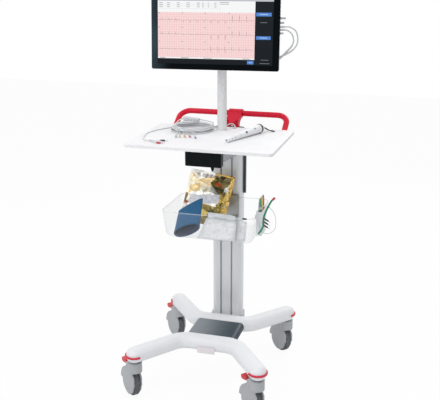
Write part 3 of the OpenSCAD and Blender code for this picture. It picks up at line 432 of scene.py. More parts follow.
steel = metal("bright_steel", tone(205, 207, 209), 0.24)
dull_steel = metal("hook_steel", tone(188, 191, 194), 0.36, streak=(12, 1, 1))
lead_sheath = sheathed("lead_grey", tone(224, 226, 228))
trunk_sheath = sheathed("trunk_grey", tone(212, 214, 216))
black_sheath = sheathed("cord_black", tone(40, 41, 44), 0.5)
monitor_sheath = sheathed("cable_grey", tone(196, 198, 200))
stub_plastic = moulded("stub_grey", tone(172, 175, 178), 0.5)
yoke_plastic = moulded("yoke_grey", tone(206, 208, 210), 0.42)
box_plastic = moulded("box_black_plastic", tone(8, 15, 17), 0.42, specular_ior_level=0.12)
signal_plastic = {name: moulded("plug_" + name, color, 0.36) for name, color in SIGNAL.items()}
strap_green = moulded("strap_green", tone(24, 132, 92), 0.5)
label_bare = moulded("bare_plate", tone(240, 234, 236), 0.3, grain=0.00001)

# ------------------------------------------------------------ patient leads

LEAD_D, TRUNK_D, STRAP_D = 3 * MM, 5 * MM, 8 * MM
COIL_CENTRE = Vector((-120, 40, 1116)) * MM
GLAND = Vector((44, 124, 1109)) * MM
GLAND_COLLAR = Vector((44, 124, 1123)) * MM
YOKE = Vector((-154, 124, 1140)) * MM
YOKE_TURN = turn(4, "Z")
SPLITTER = Vector((-217.4, -221.6, 1116)) * MM

TRUNK_RUN_IN = metres([(44, 124, 1109), (44, 124, 1117), (44, 124, 1124), (41.5, 123.5, 1130.8),
                       (35, 122.5, 1135.4), (26, 121, 1135.8), (16, 119.5, 1132), (3, 117, 1125),
                       (-12, 115.5, 1120.4), (-30, 118, 1118.9), (-50, 124.5, 1118.8), (-72, 132.5, 1119)])
LIMB_ROUTE = metres([(-190, 121.5, 1146), (-203, 119, 1144), (-213, 106, 1136), (-216.5, 88, 1127.5),
                     (-215.6, 66.9, 1122), (-224, 59, 1119.5), (-244, 32, 1118.8), (-264, -4, 1118.8),
                     (-278, -44, 1118.8), (-284, -88, 1118.8), (-276, -140, 1118.8), (-264, -180, 1118.8),
                     (-248, -208, 1118.8), (-234, -219, 1119.4), (-223, -221.6, 1120)])
LIMB_TAILS = {
    "black": metres([(-212, -218, 1120), (-200, -212, 1118), (-186, -203, 1119.5), (-176, -203, 1119.5)]),
    "pale": metres([(-212, -221.6, 1120), (-202, -226, 1118), (-190, -227, 1119.5), (-180, -227, 1119.5)]),
    "red": metres([(-211.7, -225.2, 1120), (-203, -238, 1118), (-188, -250, 1119.5), (-178, -250, 1119.5)])}
# Where each chest lead starts round the coil, as degrees and radius, and the height of its turn
CHEST_STARTS = ((153, 73, 21.5), (147, 70, 17.5), (150, 72, 22.0), (155, 75, 18.5), (160, 78, 15.5))
CHEST_TAILS = {
    "green": metres([(-158.6, -50.8, 1123), (-158, -80, 1118), (-146, -110, 1119.5)]),
    "yellow": metres([(-145.5, -55.3, 1120), (-144, -80, 1118), (-132, -104, 1119.5)]),
    "orange": metres([(-128.6, -58.3, 1123), (-124, -78, 1118), (-112, -100, 1119.5)]),
    "red": metres([(-108, -58, 1120), (-102, -78, 1118), (-90, -98, 1119.5)]),
    "violet": metres([(-86.3, -52.8, 1123), (-76, -82, 1118), (-62, -110, 1119.5)])}


def on_coil(degrees, radius, height):
    """A point of the coil, from its angle, and its radius and height in millimetres."""
    angle = math.radians(degrees)
    return COIL_CENTRE + Vector((radius * math.cos(angle), radius * math.sin(angle), height)) * MM


def wound(stops, step=12, sway=2.6, phase=0.0):
    """A run round the coil through stops of (degrees, radius, height), with a little sway."""
    line = []
    for (a0, r0, h0), (a1, r1, h1) in zip(stops, stops[1:]):
        count = max(1, round((a1 - a0) / step))
        for k in range(count):
            t = k / count
            ease = t * t * (3 - 2 * t)
            angle = a0 + (a1 - a0) * t
            lean = sway * math.sin(math.radians(2 * angle) + phase)
            line.append(on_coil(angle, r0 + (r1 - r0) * ease + lean, h0 + (h1 - h0) * ease))
    return line


def lead_plug(name, start, direction, color, body_l=16.0):
    """A moulded lead plug with a ribbed strain relief and a steel pin, its back end at start."""
    outline = [(0, -5.5), (1.7, -5.5), (1.9, -5), (1.9, -4), (2.5, -3.8), (2.5, -2.8), (2.1, -2.6), (2.1, -1.6),
               (2.9, -1.4), (2.9, -0.4), (2.6, 0), (3.2, 0.4), (3.4, 1.4), (3.4, 3.6), (3.1, 4.2), (3.1, 6.4),
               (3.4, 7), (3.4, body_l - 3), (2.9, body_l - 0.8), (2.2, body_l), (1.6, body_l), (1.6, body_l + 8.8),
               (1.1, body_l + 9.8), (0, body_l + 10)]
    mesh = turned(outline, along(start, direction), material_at=lambda height: int(height > body_l * MM))
    return finished_piece(name, mesh, "trolley", "plug_body", signal_plastic[color], steel,
                          replaced="lead_fittings")


TRUNK_TURNS = [(78, 98, 3), (130, 94, 3), (330, 91, 2.7), (430, 82, 2.7), (690, 81, 2.7), (790, 72.5, 2.7),
               (1040, 72, 2.7), (1150, 76.8, 8.4), (1400, 77, 9.4), (1500, 86, 10.4), (1700, 86.5, 12.8),
               (1790, 86, 22), (1845, 84, 30)]
GLAND_OUTLINE = [(3.0, -14), (6, -14), (6, -7), (9, -7), (9, -4.6), (8.4, -4), (5.4, -4), (4.6, -1), (3.6, 2),
                 (2.8, 3), (2.6, 3), (2.6, -14), (3.0, -14)]
YOKE_L, YOKE_W, YOKE_H = 74 * MM, 34 * MM, 16 * MM
YOKE_SLOPE, YOKE_TAPER, YOKE_EXITS = 0.09, 0.86, (-24, -12, 0, 12, 24)


def yoke_block():
    """The moulded block between trunk and leads: lower and narrower towards one end, a spout for each lead."""
    wedge = box((0, 0, YOKE_H / 2), (YOKE_L, YOKE_W, YOKE_H), corner=8 * MM)
    for vert in wedge.verts:
        if vert.co.z > YOKE_H / 2:
            vert.co.z -= YOKE_SLOPE * (vert.co.x + YOKE_L / 2)
            vert.co.y *= YOKE_TAPER
    spout = [(0, 0), (3.4, 0), (3.4, 3), (2.2, 7), (0, 7)]
    spouts = [turned(spout, along((x * MM, -16.5 * MM, 6 * MM), (0, -1, 0))) for x in YOKE_EXITS]
    return moved(joined(wedge, *spouts), Matrix.Translation(YOKE) @ YOKE_TURN)


def patient_leads():
    """The trunk cable from its gland into the coil and yoke, and every lead with its plug."""
    gland = finished_piece("trunk_gland", turned(GLAND_OUTLINE, Matrix.Translation(GLAND_COLLAR)),
                           "trolley", "plug_body", yoke_plastic, replaced="lead_fittings")
    yoke = finished_piece("lead_yoke", yoke_block(), "trolley", "plug_body", yoke_plastic,
                          replaced="lead_fittings", edge=1.4, segments=3)
    free_cord("trunk_cable", flowing(TRUNK_RUN_IN + wound(TRUNK_TURNS) + [YOKE + Vector((37.5, 2.7, 6)) * MM]),
              TRUNK_D, trunk_sheath, "cord_black", ("patient_coil", "patient_trunk"), 2, exit=GLAND,
              far_end="fitting", stiffness="limp", lay="coiled", with_pieces=[gland, yoke])

    fork = box(SPLITTER + Vector((0, 0, 3.75 * MM)), (10.5 * MM, 12 * MM, 7.5 * MM), corner=2 * MM)
    fork = finished_piece("limb_fork", fork, "trolley", "plug_body", yoke_plastic, replaced="lead_fittings",
                          edge=1, segments=3)
    free_cord("limb_cable", flowing(LIMB_ROUTE), TRUNK_D, lead_sheath, "lead_grey", ("patient_trunk",), 2,
              exit=LIMB_ROUTE[0], far_end="fitting", stiffness="limp", lay="loose", with_pieces=[fork])

    for color, route in LIMB_TAILS.items():
        plug = lead_plug("limb_plug_" + color, route[-1], (1, 0, 0), color)
        free_cord("limb_lead_" + color, flowing(route, 4), LEAD_D, lead_sheath, "lead_grey", ("lead_tails",),
                  exit=route[0], far_end="plug", stiffness="limp", lay="loose", with_pieces=[plug])

    for i, (color, route) in enumerate(CHEST_TAILS.items()):
        start = YOKE + YOKE_TURN @ (Vector((YOKE_EXITS[i], -23, 6)) * MM)
        out = route[0] - COIL_CENTRE
        leave = math.degrees(math.atan2(out.y, out.x)) % 360 + 360
        first_angle, first_radius, height = CHEST_STARTS[i]
        radius = 69 + 5.6 * i
        run = [start, start + YOKE_TURN @ (Vector((-3, -12, -2)) * MM)]
        run += wound([(first_angle, first_radius, 24), (185, radius, height), (340, radius + 1, height - 1),
                      (430, radius, height), (470, radius - 1, height + 1.5), (540, radius + 2, height + 1),
                      (leave - 30, 88 - 2 * i, height + 2), (leave - 4, 95, 12)], sway=3.4, phase=1.3 * i)
        run += [route[0] + Vector((0, 0, 1)) * MM] + route[1:]
        toward = route[-1] - route[-2]
        plug = lead_plug("chest_plug_" + color, route[-1], (toward.x, toward.y, 0), color)
        free_cord("chest_lead_" + color, flowing(run), LEAD_D, lead_sheath, "lead_grey",
                  ("lead_tails", "patient_coil"), 2, exit=start, far_end="plug", stiffness="limp", lay="coiled",
                  with_pieces=[plug])


def side_cords():
    """The spare lead and strap beside the basket, and the loop on the handset."""
    slant = math.radians(30)
    for i in range(3):
        lead_plug("spare_plug_%d" % i, Vector((246.9 - 1.5 * i, -148, 804.6 - 14 * i)) * MM,
                  (math.cos(slant), 0, -math.sin(slant)), "black", 18)
    route = metres([(226, -134, 838), (240, -137, 856), (262, -138, 852), (284, -138, 826), (291, -138, 790),
                    (286, -138, 760), (268, -138, 742), (248, -138, 738), (228, -138, 750), (214, -138, 778),
                    (210, -138, 812), (216, -136, 836), (226, -134, 846)])
    free_cord("clamp_lead", flowing(route, 3), LEAD_D, lead_sheath, "lead_grey", ("lead_loop",),
              exit=route[0], far_end="object", stiffness="medium", lay="hanging")
    route = metres([(220, -146, 736), (238, -148, 766), (240, -148, 790), (243, -148, 815), (256, -148, 850),
                    (272, -148, 882), (286, -148, 898)])
    tip = turned([(0, -12), (4.4, -12), (4.8, -10), (4.8, -1), (3.6, 1), (0, 1.2)],
                 along(route[-1], route[-1] - route[-2]))
    tip = finished_piece("strap_tip", tip, "trolley", "plug_body", signal_plastic["red"], replaced="lead_loop")
    free_cord("clamp_strap", flowing(route, 4), STRAP_D, strap_green, "clamp_green", ("lead_loop",),
              exit=route[0], far_end="connector", stiffness="stiff", lay="hanging", with_pieces=[tip])
    route = metres([(176.4, 80, 1137.5), (179, 88, 1136), (187, 104, 1126), (200, 116, 1118), (216, 116, 1117.8),
                    (226, 104, 1117.8), (218, 92, 1118.5), (202, 90, 1126), (188, 89, 1134), (181, 80, 1137.5)])
    free_cord("handset_cord", flowing(route, 4), LEAD_D, black_sheath, "cord_black", ("wrist_cord",),
              exit=route[0], far_end="object", stiffness="limp", lay="loose")


patient_leads()
side_cords()


# ------------------------------------------------------------ floor and world

ROOM_LIGHT, FLOOR_GLOW = (0.64, 0.645, 0.655, 1), 0.94


def pale_room():
    """A pale floor, and a world that is soft grey as light, and white seen directly or in a gloss."""
    mesh = bmesh.new()
    bmesh.ops.create_grid(mesh, x_segments=1, y_segments=1, size=8)
    data = bpy.data.meshes.new("ward_floor")
    mesh.to_mesh(data)
    mesh.free()
    floor = placed("ward_floor", data)
    finish = Finish("pale_floor", tone(238, 239, 240), 0.55)
    finish.feed({"Base Color": finish.mix(finish.noise(3, 4), tone(244, 244, 245), tone(238, 239, 240))})
    seen = finish.node("LightPath")
    glow = finish.node("Emission", inputs={"Color": tone(255, 255, 255), "Strength": 1.0})
    plain = Field(finish, finish.shader.outputs[0])
    lit = finish.node("MixShader", inputs={0: seen * FLOOR_GLOW, 1: plain, 2: glow})
    finish.put(finish.tree.nodes["Material Output"].inputs["Surface"], lit)
    data.materials.append(finish.material)

    world = bpy.data.worlds.new("pale_world")
    world.use_nodes = True
    bpy.context.scene.world = world
    tree = world.node_tree
    tree.nodes.clear()
    seen, room, white, either, any_ray, blend, output = (
        tree.nodes.new("ShaderNode" + kind)
        for kind in ("LightPath", "Background", "Background", "Math", "Math", "MixShader", "OutputWorld"))
    room.inputs[0].default_value = ROOM_LIGHT
    white.inputs[0].default_value = (1, 1, 1, 1)
    either.operation = any_ray.operation = "MAXIMUM"
    for source, socket in ((seen.outputs["Is Camera Ray"], either.inputs[0]),
                           (seen.outputs["Is Glossy Ray"], either.inputs[1]),
                           (either.outputs[0], any_ray.inputs[0]),
                           (seen.outputs["Is Transmission Ray"], any_ray.inputs[1]),
                           (any_ray.outputs[0], blend.inputs[0]), (room.outputs[0], blend.inputs[1]),
                           (white.outputs[0], blend.inputs[2]), (blend.outputs[0], output.inputs[0])):
        tree.links.new(source, socket)


pale_room()

# ------------------------------------------------------------ monitor picture

SCREEN = (Matrix.Translation((0, 0.075, 1.540)) @ turn(6, "Z")
          @ Matrix.Translation((0, -0.044, 0)) @ turn(-4, "X")
          @ Matrix.Translation((-0.014, -0.0494, 0)))
SCREEN_W, SCREEN_H = 476, 268
CHART_R, CHART_LOW, CHART_TOP = 402, 27.4, 207.4
TABLE_R, TABLE_TOP = 257.5, 252
GLASS_Y = 0.6
BASELINES = (176, 119.3, 60.2)
BEAT, FIRST_BEAT = 29.26, 46.1
TRACE_STEP, TRACE_R, COLUMN_W = 0.55, 0.38, 98.5
PICTURE_LIGHT = 0.82
# Sharp wave of each row and column: its height up and then down, in millimetres
SHARP_WAVES = (((10, -3), (-1, -11), (-11, -11), (26, -7)), ((12, -2), (4, -3), (-2, -24), (19, -6)),
               ((5, -4), (3, -5), (16, -16), (14, -4)))


def on_screen(u, v, lift=0.0):
    """A point of the picture, in millimetres from its lower left corner, lifted off the glass."""
    return SCREEN @ (Vector((u - SCREEN_W / 2, GLASS_Y - lift, v - SCREEN_H / 2)) * MM)


def screen_finish():
    """A lit chart: a pale table above a pink chart grid, a dark panel at the right and below."""
    finish = Finish("screen_picture", tone(20, 20, 22), 0.16, specular_ior_level=0.08)
    u, depth, v = finish.axes(finish.place(centre=SCREEN.translation, turn=tuple(SCREEN.to_euler()),
                                           scale=(MM, MM, MM)))
    u, v = u + SCREEN_W / 2, v + SCREEN_H / 2
    fine = ((u % 1.98) < 0.3) + ((v % 1.98) < 0.3)
    coarse = ((u % 9.9) < 1.1) + ((v % 9.9) < 0.8)
    chart = finish.mix(fine * 0.35, tone(253, 223, 222), tone(242, 200, 201))
    chart = finish.mix(coarse * 0.85, chart, tone(234, 176, 180))
    picture = finish.mix(v.between(CHART_LOW, CHART_TOP), tone(249, 250, 250), chart)
    dark = (u > CHART_R) + (v < CHART_LOW - 5.6)
    picture = finish.mix(dark, picture, finish.mix(v.ramp(0, 250), tone(20, 25, 30), tone(25, 30, 35)))
    picture = finish.mix(v > TABLE_TOP, picture, tone(194, 197, 204))
    lit = depth < GLASS_Y + 0.2
    finish.feed({"Base Color": finish.mix(0.86, picture, tone(8, 8, 9)),
                 "Emission Color": finish.mix(lit, tone(0, 0, 0), picture),
                 "Roughness": finish.noise(20, 4) * 0.1 + 0.1})
    finish.feed({"Emission Strength": PICTURE_LIGHT})
    return finish.material


def lit_mark(name, color):
    """A drawn mark of the picture, as bright as the rest of it."""
    finish = Finish(name, shade(color, 0.2), 0.2)
    finish.feed({"Emission Color": finish.mix(finish.noise(300, 2), color, shade(color, 0.94))})
    finish.feed({"Emission Strength": PICTURE_LIGHT})
    return finish.material


def beat(phase, row, column):
    """Height of one heartbeat in millimetres, phase from -1 to 1 about its sharp wave."""
    def wave(at, width, height):
        return height * math.exp(-((phase - at) / width) ** 2)
    up, down = SHARP_WAVES[row][column]
    return (wave(-0.34, 0.06, 1.4) + wave(0, 0.022, up) + wave(0.045, 0.024, down)
            + wave(0.42, 0.1, 3.2 if column != 1 else -1.6))


def drawn_lines():
    """The three traces of the chart as fine raised lines on the glass."""
    data = bpy.data.curves.new("chart_traces", "CURVE")
    data.dimensions = "3D"
    data.bevel_depth, data.bevel_resolution = TRACE_R * MM, 0
    for row, base in enumerate(BASELINES):
        spline = data.splines.new("POLY")
        us = [3 + TRACE_STEP * k for k in range(int((CHART_R - 8) / TRACE_STEP))]
        spline.points.add(len(us) - 1)
        for point, u in zip(spline.points, us):
            phase = ((u - FIRST_BEAT + BEAT / 2) % BEAT - BEAT / 2) / BEAT
            column = min(3, int((u + 2) / COLUMN_W))
            wander = 0.5 * math.sin(u * 0.045 + row) + 0.12 * noise.noise(Vector((u * 0.7, row, 0)))
            point.co = (*on_screen(u, base + wander + beat(phase, row, column), 0.12), 1)
    traces = bpy.data.objects.new("chart_traces", data)
    flat = bpy.data.meshes.new_from_object(traces)
    bpy.data.objects.remove(traces)
    mesh = bmesh.new()
    mesh.from_mesh(flat)
    squeeze = SCREEN @ Matrix.Translation((0, GLASS_Y * MM, 0)) @ Matrix.Diagonal((1, 0.25, 1, 1)) \
        @ Matrix.Translation((0, -GLASS_Y * MM, 0)) @ SCREEN.inverted()
    ink = lit_mark("trace_ink", tone(96, 78, 86))
    finished_piece("chart_traces", moved(mesh, squeeze), "monitor", "screen_glass", ink, smooth=0)


def marks(name, color, spans, lift=0.08):
    """Flat marks on the glass, each from its centre, width and height in millimetres."""
    parts = [box((0, 0, 0), (w * MM, 0.12 * MM, h * MM), corner=min(w, h) * 0.06 * MM, axis=1, segments=2)
             for u, v, w, h in spans]
    for part, (u, v, _, _) in zip(parts, spans):
        moved(part, Matrix.Translation(on_screen(u, v, lift)) @ SCREEN.to_3x3().to_4x4())
    return finished_piece(name, joined(*parts), "monitor", "screen_glass", lit_mark(name + "_light", color),
                          smooth=0)


def monitor_picture():
    drawn_lines()
    rules = [(TABLE_R / 2, v, TABLE_R - 4, 0.7) for v in (222, 232.6, 240)]
    rules += [(TABLE_R, 230, 0.7, 42)]
    marks("table_rules", tone(196, 200, 204), rules)
    dashes = [(u, v, w, 1.9) for v in (244, 236.4, 228.6)
              for u, w in ((14, 16), (45, 12), (86, 12), (127, 14), (169, 12), (188, 8), (211, 6), (239, 10))]
    dashes += [(276, 246.6, 38, 1.9), (277, 240.3, 36, 1.9)]
    dashes += [(u, v, 5.5, 2.4) for v in (204.5, 147, 90) for u in (6, 103, 197, 296)]
    dashes += [(u, 24.7, w, 2.2) for u, w in ((20, 22), (114, 34), (209, 34), (369, 30))]
    marks("picture_dashes", tone(120, 126, 132), dashes)
    marks("header_dashes", tone(226, 230, 233), [(30, 260, 36, 3), (230, 260, 60, 3), (372, 260, 40, 3)])
    marks("touch_keys", tone(72, 128, 208),
          [(437, 201.6, 62, 14.4), (437, 109.4, 59, 13.4), (385.7, 10.6, 26.4, 13.4)])
    marks("key_bars", tone(168, 196, 236),
          [(437, 201.6, 34, 3), (437, 109.4, 30, 3), (385.7, 10.6, 12, 2.4)], lift=0.16)
    marks("panel_dashes", tone(112, 118, 124), [(437, 170, 28, 2.2), (444, 21.6, 32, 2), (444, 8, 40, 2)])


monitor_picture()

# ------------------------------------------------------------ monitor cables

CASE_SIDE, PLUG_Y, HUMP_Y = 251, -35.4, -25.4
MONITOR_LEAN = SCREEN @ Matrix.Translation((14 * MM, 49.4 * MM, 0))


def on_monitor(points):
    return [MONITOR_LEAN @ point for point in metres(points)]


def monitor_cables():
    """Plugs and stubs in the side of the case, two cables that loop to the rear, and their clip."""
    parts = []
    for z, length, half in ((54, 21, 3.6), (36, 15, 3.6), (-5, 13, 3.4)):
        parts += [box((Vector((CASE_SIDE + length / 2, PLUG_Y, z)) * MM), (length * MM, 10 * MM, 2 * half * MM),
                      corner=1.6 * MM, axis=0, segments=3),
                  box((Vector((CASE_SIDE + 1.2, PLUG_Y, z)) * MM), (2.4 * MM, 13 * MM, (2 * half + 3) * MM),
                      corner=1.6 * MM, axis=0, segments=3)]
        parts += [box((Vector((CASE_SIDE + length * 0.62 + 1.8 * k, PLUG_Y, z)) * MM),
                      (0.8 * MM, 10.8 * MM, (2 * half + 0.8) * MM)) for k in range(3)]
    stubs = moved(joined(*parts), MONITOR_LEAN)
    finished_piece("side_stubs", stubs, "monitor", "cable_grey", stub_plastic, replaced="monitor_cables", edge=0.5)
    outline = [(0, 0), (4.6, 0), (4.6, 1.5), (4.2, 2), (4.2, 11), (3.8, 12), (3.8, 13), (4.1, 13.4), (4.1, 14.4),
               (3.6, 14.8), (3.6, 15.8), (3.9, 16.2), (3.9, 17.2), (3.2, 17.8), (3.0, 20.5), (2.6, 21.5), (0, 21.5)]
    plugs = joined(*[turned(outline, MONITOR_LEAN @ along(Vector((CASE_SIDE, PLUG_Y, z)) * MM, (1, 0, 0)))
                     for z in (20.6, 8.9)])
    finished_piece("side_plugs", plugs, "monitor", "cable_grey", monitor_sheath, replaced="monitor_cables")
    outer = [(18, 0, 20.6), (38, 0, 20), (62, 2, 5), (71, 4, -24), (66, 8, -52), (47, 14, -74), (16, 20, -92),
             (-8, 22, -104)]
    inner = [(18, 0, 8.9), (32, 2, 5), (48, 5, -10), (54, 8, -34), (46, 12, -56), (26, 17, -78), (-8, 20, -114)]
    for name, route in (("outer_cable", outer), ("inner_cable", inner)):
        route = on_monitor([(CASE_SIDE + x, PLUG_Y + y, z) for x, y, z in route])
        for part, line, diameter in (("", flowing(route, 5), 6 * MM),
                                     ("_sleeve", flowing(route[-4:], 5)[4:], 8 * MM)):
            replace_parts(tube_piece(name + part, line, diameter, monitor_sheath, "monitor"),
                        "monitor_cables")
    clip = joined(box((0, 0, 0), (14 * MM, 22 * MM, 26 * MM), corner=3 * MM, axis=0),
                  box((0, 0, 0), (15 * MM, 16 * MM, 3 * MM)))
    moved(clip, MONITOR_LEAN @ Matrix.Translation(Vector((231, HUMP_Y + 11, -118)) * MM))
    finished_piece("cable_clip", clip, "monitor", "cable_grey", stub_plastic, replaced="monitor_cables", edge=0.6)


monitor_cables()

# ------------------------------------------------------------ under the worktop

CONSOLE_LOW, CONSOLE_RISE, CONSOLE_BEND_Y, CONSOLE_RUN = 0.994, 0.030, 0.10, 0.27
POWER_W, POWER_STEP_W, POWER_FACE_W, POWER_LEAD_X, POWER_LEAD_D = 0.152, 0.1496, 0.140, 0.034, 6.4 * MM

def power_box():
    """The power supply under the worktop: a stepped case, and its lead that rises into the console."""
    front, rear, low, high = -208 * MM, -172 * MM, 1020 * MM, 1101 * MM
    middle = ((front + rear) / 2, (low + high) / 2)
    case = joined(box((0, middle[0] + 2 * MM, middle[1]), (POWER_W, rear - front - 4 * MM, high - low),
                      corner=4 * MM, axis=1),
                  box((0, front + 2 * MM, middle[1]), (POWER_STEP_W, 4 * MM, high - low - 2.4 * MM),
                      corner=3.4 * MM, axis=1),
                  box((0, front + 0.6 * MM, middle[1]), (POWER_FACE_W, 1.6 * MM, high - low - 12 * MM),
                      corner=3 * MM, axis=1),
                  turned([(0, 0), (5.5, 0), (5.5, 5), (3.6, 15), (0, 15)],
                         along((POWER_LEAD_X, middle[0], low + 1 * MM), (0, 0, -1))),
                  box((0, 141 * MM, 975 * MM), (14 * MM, 14 * MM, 12 * MM), corner=2 * MM, axis=1))
    finished_piece("power_case", case, "trolley", "box_black", box_plastic, replaced="power_box", edge=0.8,
                   segments=3)
    route = metres([(34, -190, 1012), (34, -189, 1004), (33, -180, 1000), (31, -163, 1004), (26, -140, 1020),
                    (20, -90, 1036), (8, 20, 1036), (0, 90, 1020), (0, 132, 990), (0, 140, 977)])
    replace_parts(tube_piece("power_lead", flowing(route, 5), POWER_LEAD_D, box_plastic), "power_box")


def console_shell():
    """The folded bracket under the worktop, its lower edge rising to the front."""
    shell = bmesh.new()
    shell.from_mesh(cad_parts["worktop_console"].data)
    bmesh.ops.remove_doubles(shell, verts=shell.verts, dist=1e-6)
    for vert in shell.verts:
        if vert.co.z < CONSOLE_LOW:
            vert.co.z += CONSOLE_RISE * min(1.0, max(0.0, (CONSOLE_BEND_Y - vert.co.y) / CONSOLE_RUN))
    finished_piece("console_shell", shell, "trolley", "bracket_grey", FINISHES["bracket_grey"], smooth=30,
                   replaced="worktop_console", edge=0.5)


power_box()

# ------------------------------------------------------------ basket

BASKET_W, BASKET_D, BASKET_WALL, BASKET_MID = 0.410, 0.300, 0.003, -0.015
BASKET_LOW, BASKET_RIM, BASKET_IN = 0.682, 0.800, 0.012
RIM_T, RIM_LIP, RIM_CORNER, FLOOR_CORNER = 0.003, 0.004, 0.034, 0.026
CLIP_PLACE, CLIP_SIZE = (0.165, -0.1652, BASKET_RIM + 2.4 * MM), (0.018, 0.005, 0.006)


def clear_basket():
    """A clear moulded tub: walls that lean in to a rounded floor, and a bead round the rim."""
    height = BASKET_RIM - BASKET_LOW
    tub = box((0, 0, 0), (BASKET_W, BASKET_D, height))
    for vert in tub.verts:
        if vert.co.z < 0:
            vert.co.x -= math.copysign(BASKET_IN, vert.co.x)
            vert.co.y -= math.copysign(BASKET_IN, vert.co.y)
    corners = [edge for edge in tub.edges if abs(edge.verts[0].co.z - edge.verts[1].co.z) > height / 2]
    rounded(tub, corners, RIM_CORNER, 10)
    floor_edges = [edge for edge in tub.edges if max(v.co.z for v in edge.verts) < -height / 2 + 1e-5]
    rounded(tub, floor_edges, FLOOR_CORNER, 8)
    lids = [face for face in tub.faces if min(v.co.z for v in face.verts) > height / 2 - 1e-5]
    bmesh.ops.delete(tub, geom=lids, context="FACES")
    bmesh.ops.solidify(tub, geom=list(tub.faces), thickness=BASKET_WALL)
    bmesh.ops.translate(tub, vec=(0, BASKET_MID, (BASKET_LOW + BASKET_RIM) / 2), verts=tub.verts)

    rim = box((0, 0, 0), (BASKET_W, BASKET_D, RIM_T), corner=RIM_CORNER, segments=10)
    flats = [face for face in rim.faces if abs(face.normal.z) > 0.9]
    bmesh.ops.inset_region(rim, faces=flats, thickness=RIM_LIP, use_even_offset=True)
    inner = [face for face in rim.faces if abs(face.normal.z) > 0.9 and len(face.verts) > 8]
    loops = {edge for face in inner for edge in face.edges}
    bmesh.ops.delete(rim, geom=inner, context="FACES_ONLY")
    bmesh.ops.bridge_loops(rim, edges=[edge for edge in loops if edge.is_valid])
    bmesh.ops.recalc_face_normals(rim, faces=rim.faces)
    bmesh.ops.translate(rim, vec=(0, BASKET_MID, BASKET_RIM + RIM_T / 2 - 0.00002), verts=rim.verts)
    wall_finish = clear_finish("clear_tub_wall", 0.012, 0.22)
    rim_finish = clear_finish("clear_tub_rim", 0.22, 0.3)
    clip = box(CLIP_PLACE, CLIP_SIZE, corner=1.2 * MM, axis=1, segments=3)
    for name, mesh, finish, edge, segments in (("basket_tub", tub, wall_finish, 0, 0),
                                               ("rim_clip", clip, signal_plastic["black"], 0.4, 2),
                                               ("basket_rim", rim, rim_finish, 1.1, 3)):
        finished_piece(name, mesh, "trolley", "clear_plastic", finish, replaced="basket", edge=edge,
                       segments=segments)


clear_basket()

# ------------------------------------------------------------ soft goods in the basket

CLOTH_FRAMES = 18
CUFF_TURNS, CUFF_W, CUFF_T, CUFF_START = 2.35, 0.114, 0.0024, math.radians(205)
CUFF_FRONT, CUFF_REAR = Vector((-0.0925, -0.1438, 0.7225)), Vector((-0.091, -0.088, 0.8195))
CUFF_HALF_L, CUFF_HALF_H, CUFF_FLAT_H = 0.064, 0.0265, 0.0060
CUFF_ROWS, CUFF_CELLS = 16, 96

def film_sheet(outline, thickness, cell):
    """A closed flat pouch in its own XZ plane, from four corners, with its flat place kept as UV."""
    low_left, low_right, high_right, high_left = (Vector(corner) for corner in outline)
    across = round((low_right - low_left).length / cell)
    up = round((high_left - low_left).length / cell)
    mesh = bmesh.new()
    bmesh.ops.create_grid(mesh, x_segments=across, y_segments=up, size=0.5)
    uv = mesh.loops.layers.uv.new("flat")
    flat = {}
    for vert in mesh.verts:
        s, t = vert.co.x + 0.5, vert.co.y + 0.5
        flat[vert.index] = (s, t)
        low, high = low_left.lerp(low_right, s), high_left.lerp(high_right, s)
        spot = low.lerp(high, t)
        vert.co = (spot.x, 0, spot.y)
    for face in mesh.faces:
        for loop in face.loops:
            loop[uv].uv = flat[loop.vert.index]
    bmesh.ops.solidify(mesh, geom=list(mesh.faces), thickness=thickness)
    side = 1 if max(v.co.y for v in mesh.verts) < thickness / 2 else -1
    bmesh.ops.translate(mesh, vec=(0, thickness / 2 * side, 0), verts=mesh.verts)
    return mesh


def blown(name, mesh, place, pressure, growth, cap, seam, fold, seed=0.0):
    """Swells a pouch with cloth pressure so that its film wrinkles, its crimped edge held flat."""
    data = bpy.data.meshes.new(name)
    uv = mesh.loops.layers.uv.active
    edge_share = {}
    for face in mesh.faces:
        for loop in face.loops:
            s, t = loop[uv].uv
            edge_share[loop.vert.index] = min(s, 1 - s, t, 1 - t)
    mesh.verts.ensure_lookup_table()
    for vert in mesh.verts:
        spot = vert.co * 26
        wave = noise.noise(Vector((spot.x + seed, spot.z, 0.3)))
        wave += 0.5 * noise.noise(Vector((spot.x * 2.3, spot.z * 2.1 + seed, 1)))
        open_up = min(1.0, edge_share[vert.index] / 0.25)
        vert.co.y = vert.co.y * (0.5 + 2.4 * open_up) + wave * fold * open_up
    mesh.to_mesh(data)
    mesh.free()
    piece = placed(name, data)
    held = piece.vertex_groups.new(name="held")
    held.add([i for i, share in edge_share.items() if share < seam], 1.0, "REPLACE")
    start = [vert.co.copy() for vert in data.vertices]
    cloth = piece.modifiers.new("film", "CLOTH")
    settings = cloth.settings
    settings.quality, settings.mass = 6, 0.12
    settings.tension_stiffness = settings.compression_stiffness = 22
    settings.shear_stiffness, settings.bending_stiffness = 16, 0.2
    settings.shrink_min = -growth
    settings.vertex_group_mass = "held"
    settings.use_pressure, settings.uniform_pressure_force = True, pressure
    settings.effector_weights.gravity = 0
    cloth.collision_settings.use_collision = False
    cloth.collision_settings.use_self_collision = False
    cloth.point_cache.frame_start, cloth.point_cache.frame_end = 1, CLOTH_FRAMES
    for frame_number in range(1, CLOTH_FRAMES + 1):
        bpy.context.scene.frame_set(frame_number)
    moved = piece.evaluated_get(bpy.context.evaluated_depsgraph_get()).data
    places = [vert.co.copy() for vert in moved.vertices]
    piece.modifiers.remove(cloth)
    bpy.context.scene.frame_set(1)
    for vert, old, new in zip(data.vertices, start, places):
        step = new - old
        vert.co = old + step * min(1.0, cap / max(step.length, 1e-9))
    data.transform(place)
    data.update()
    return piece


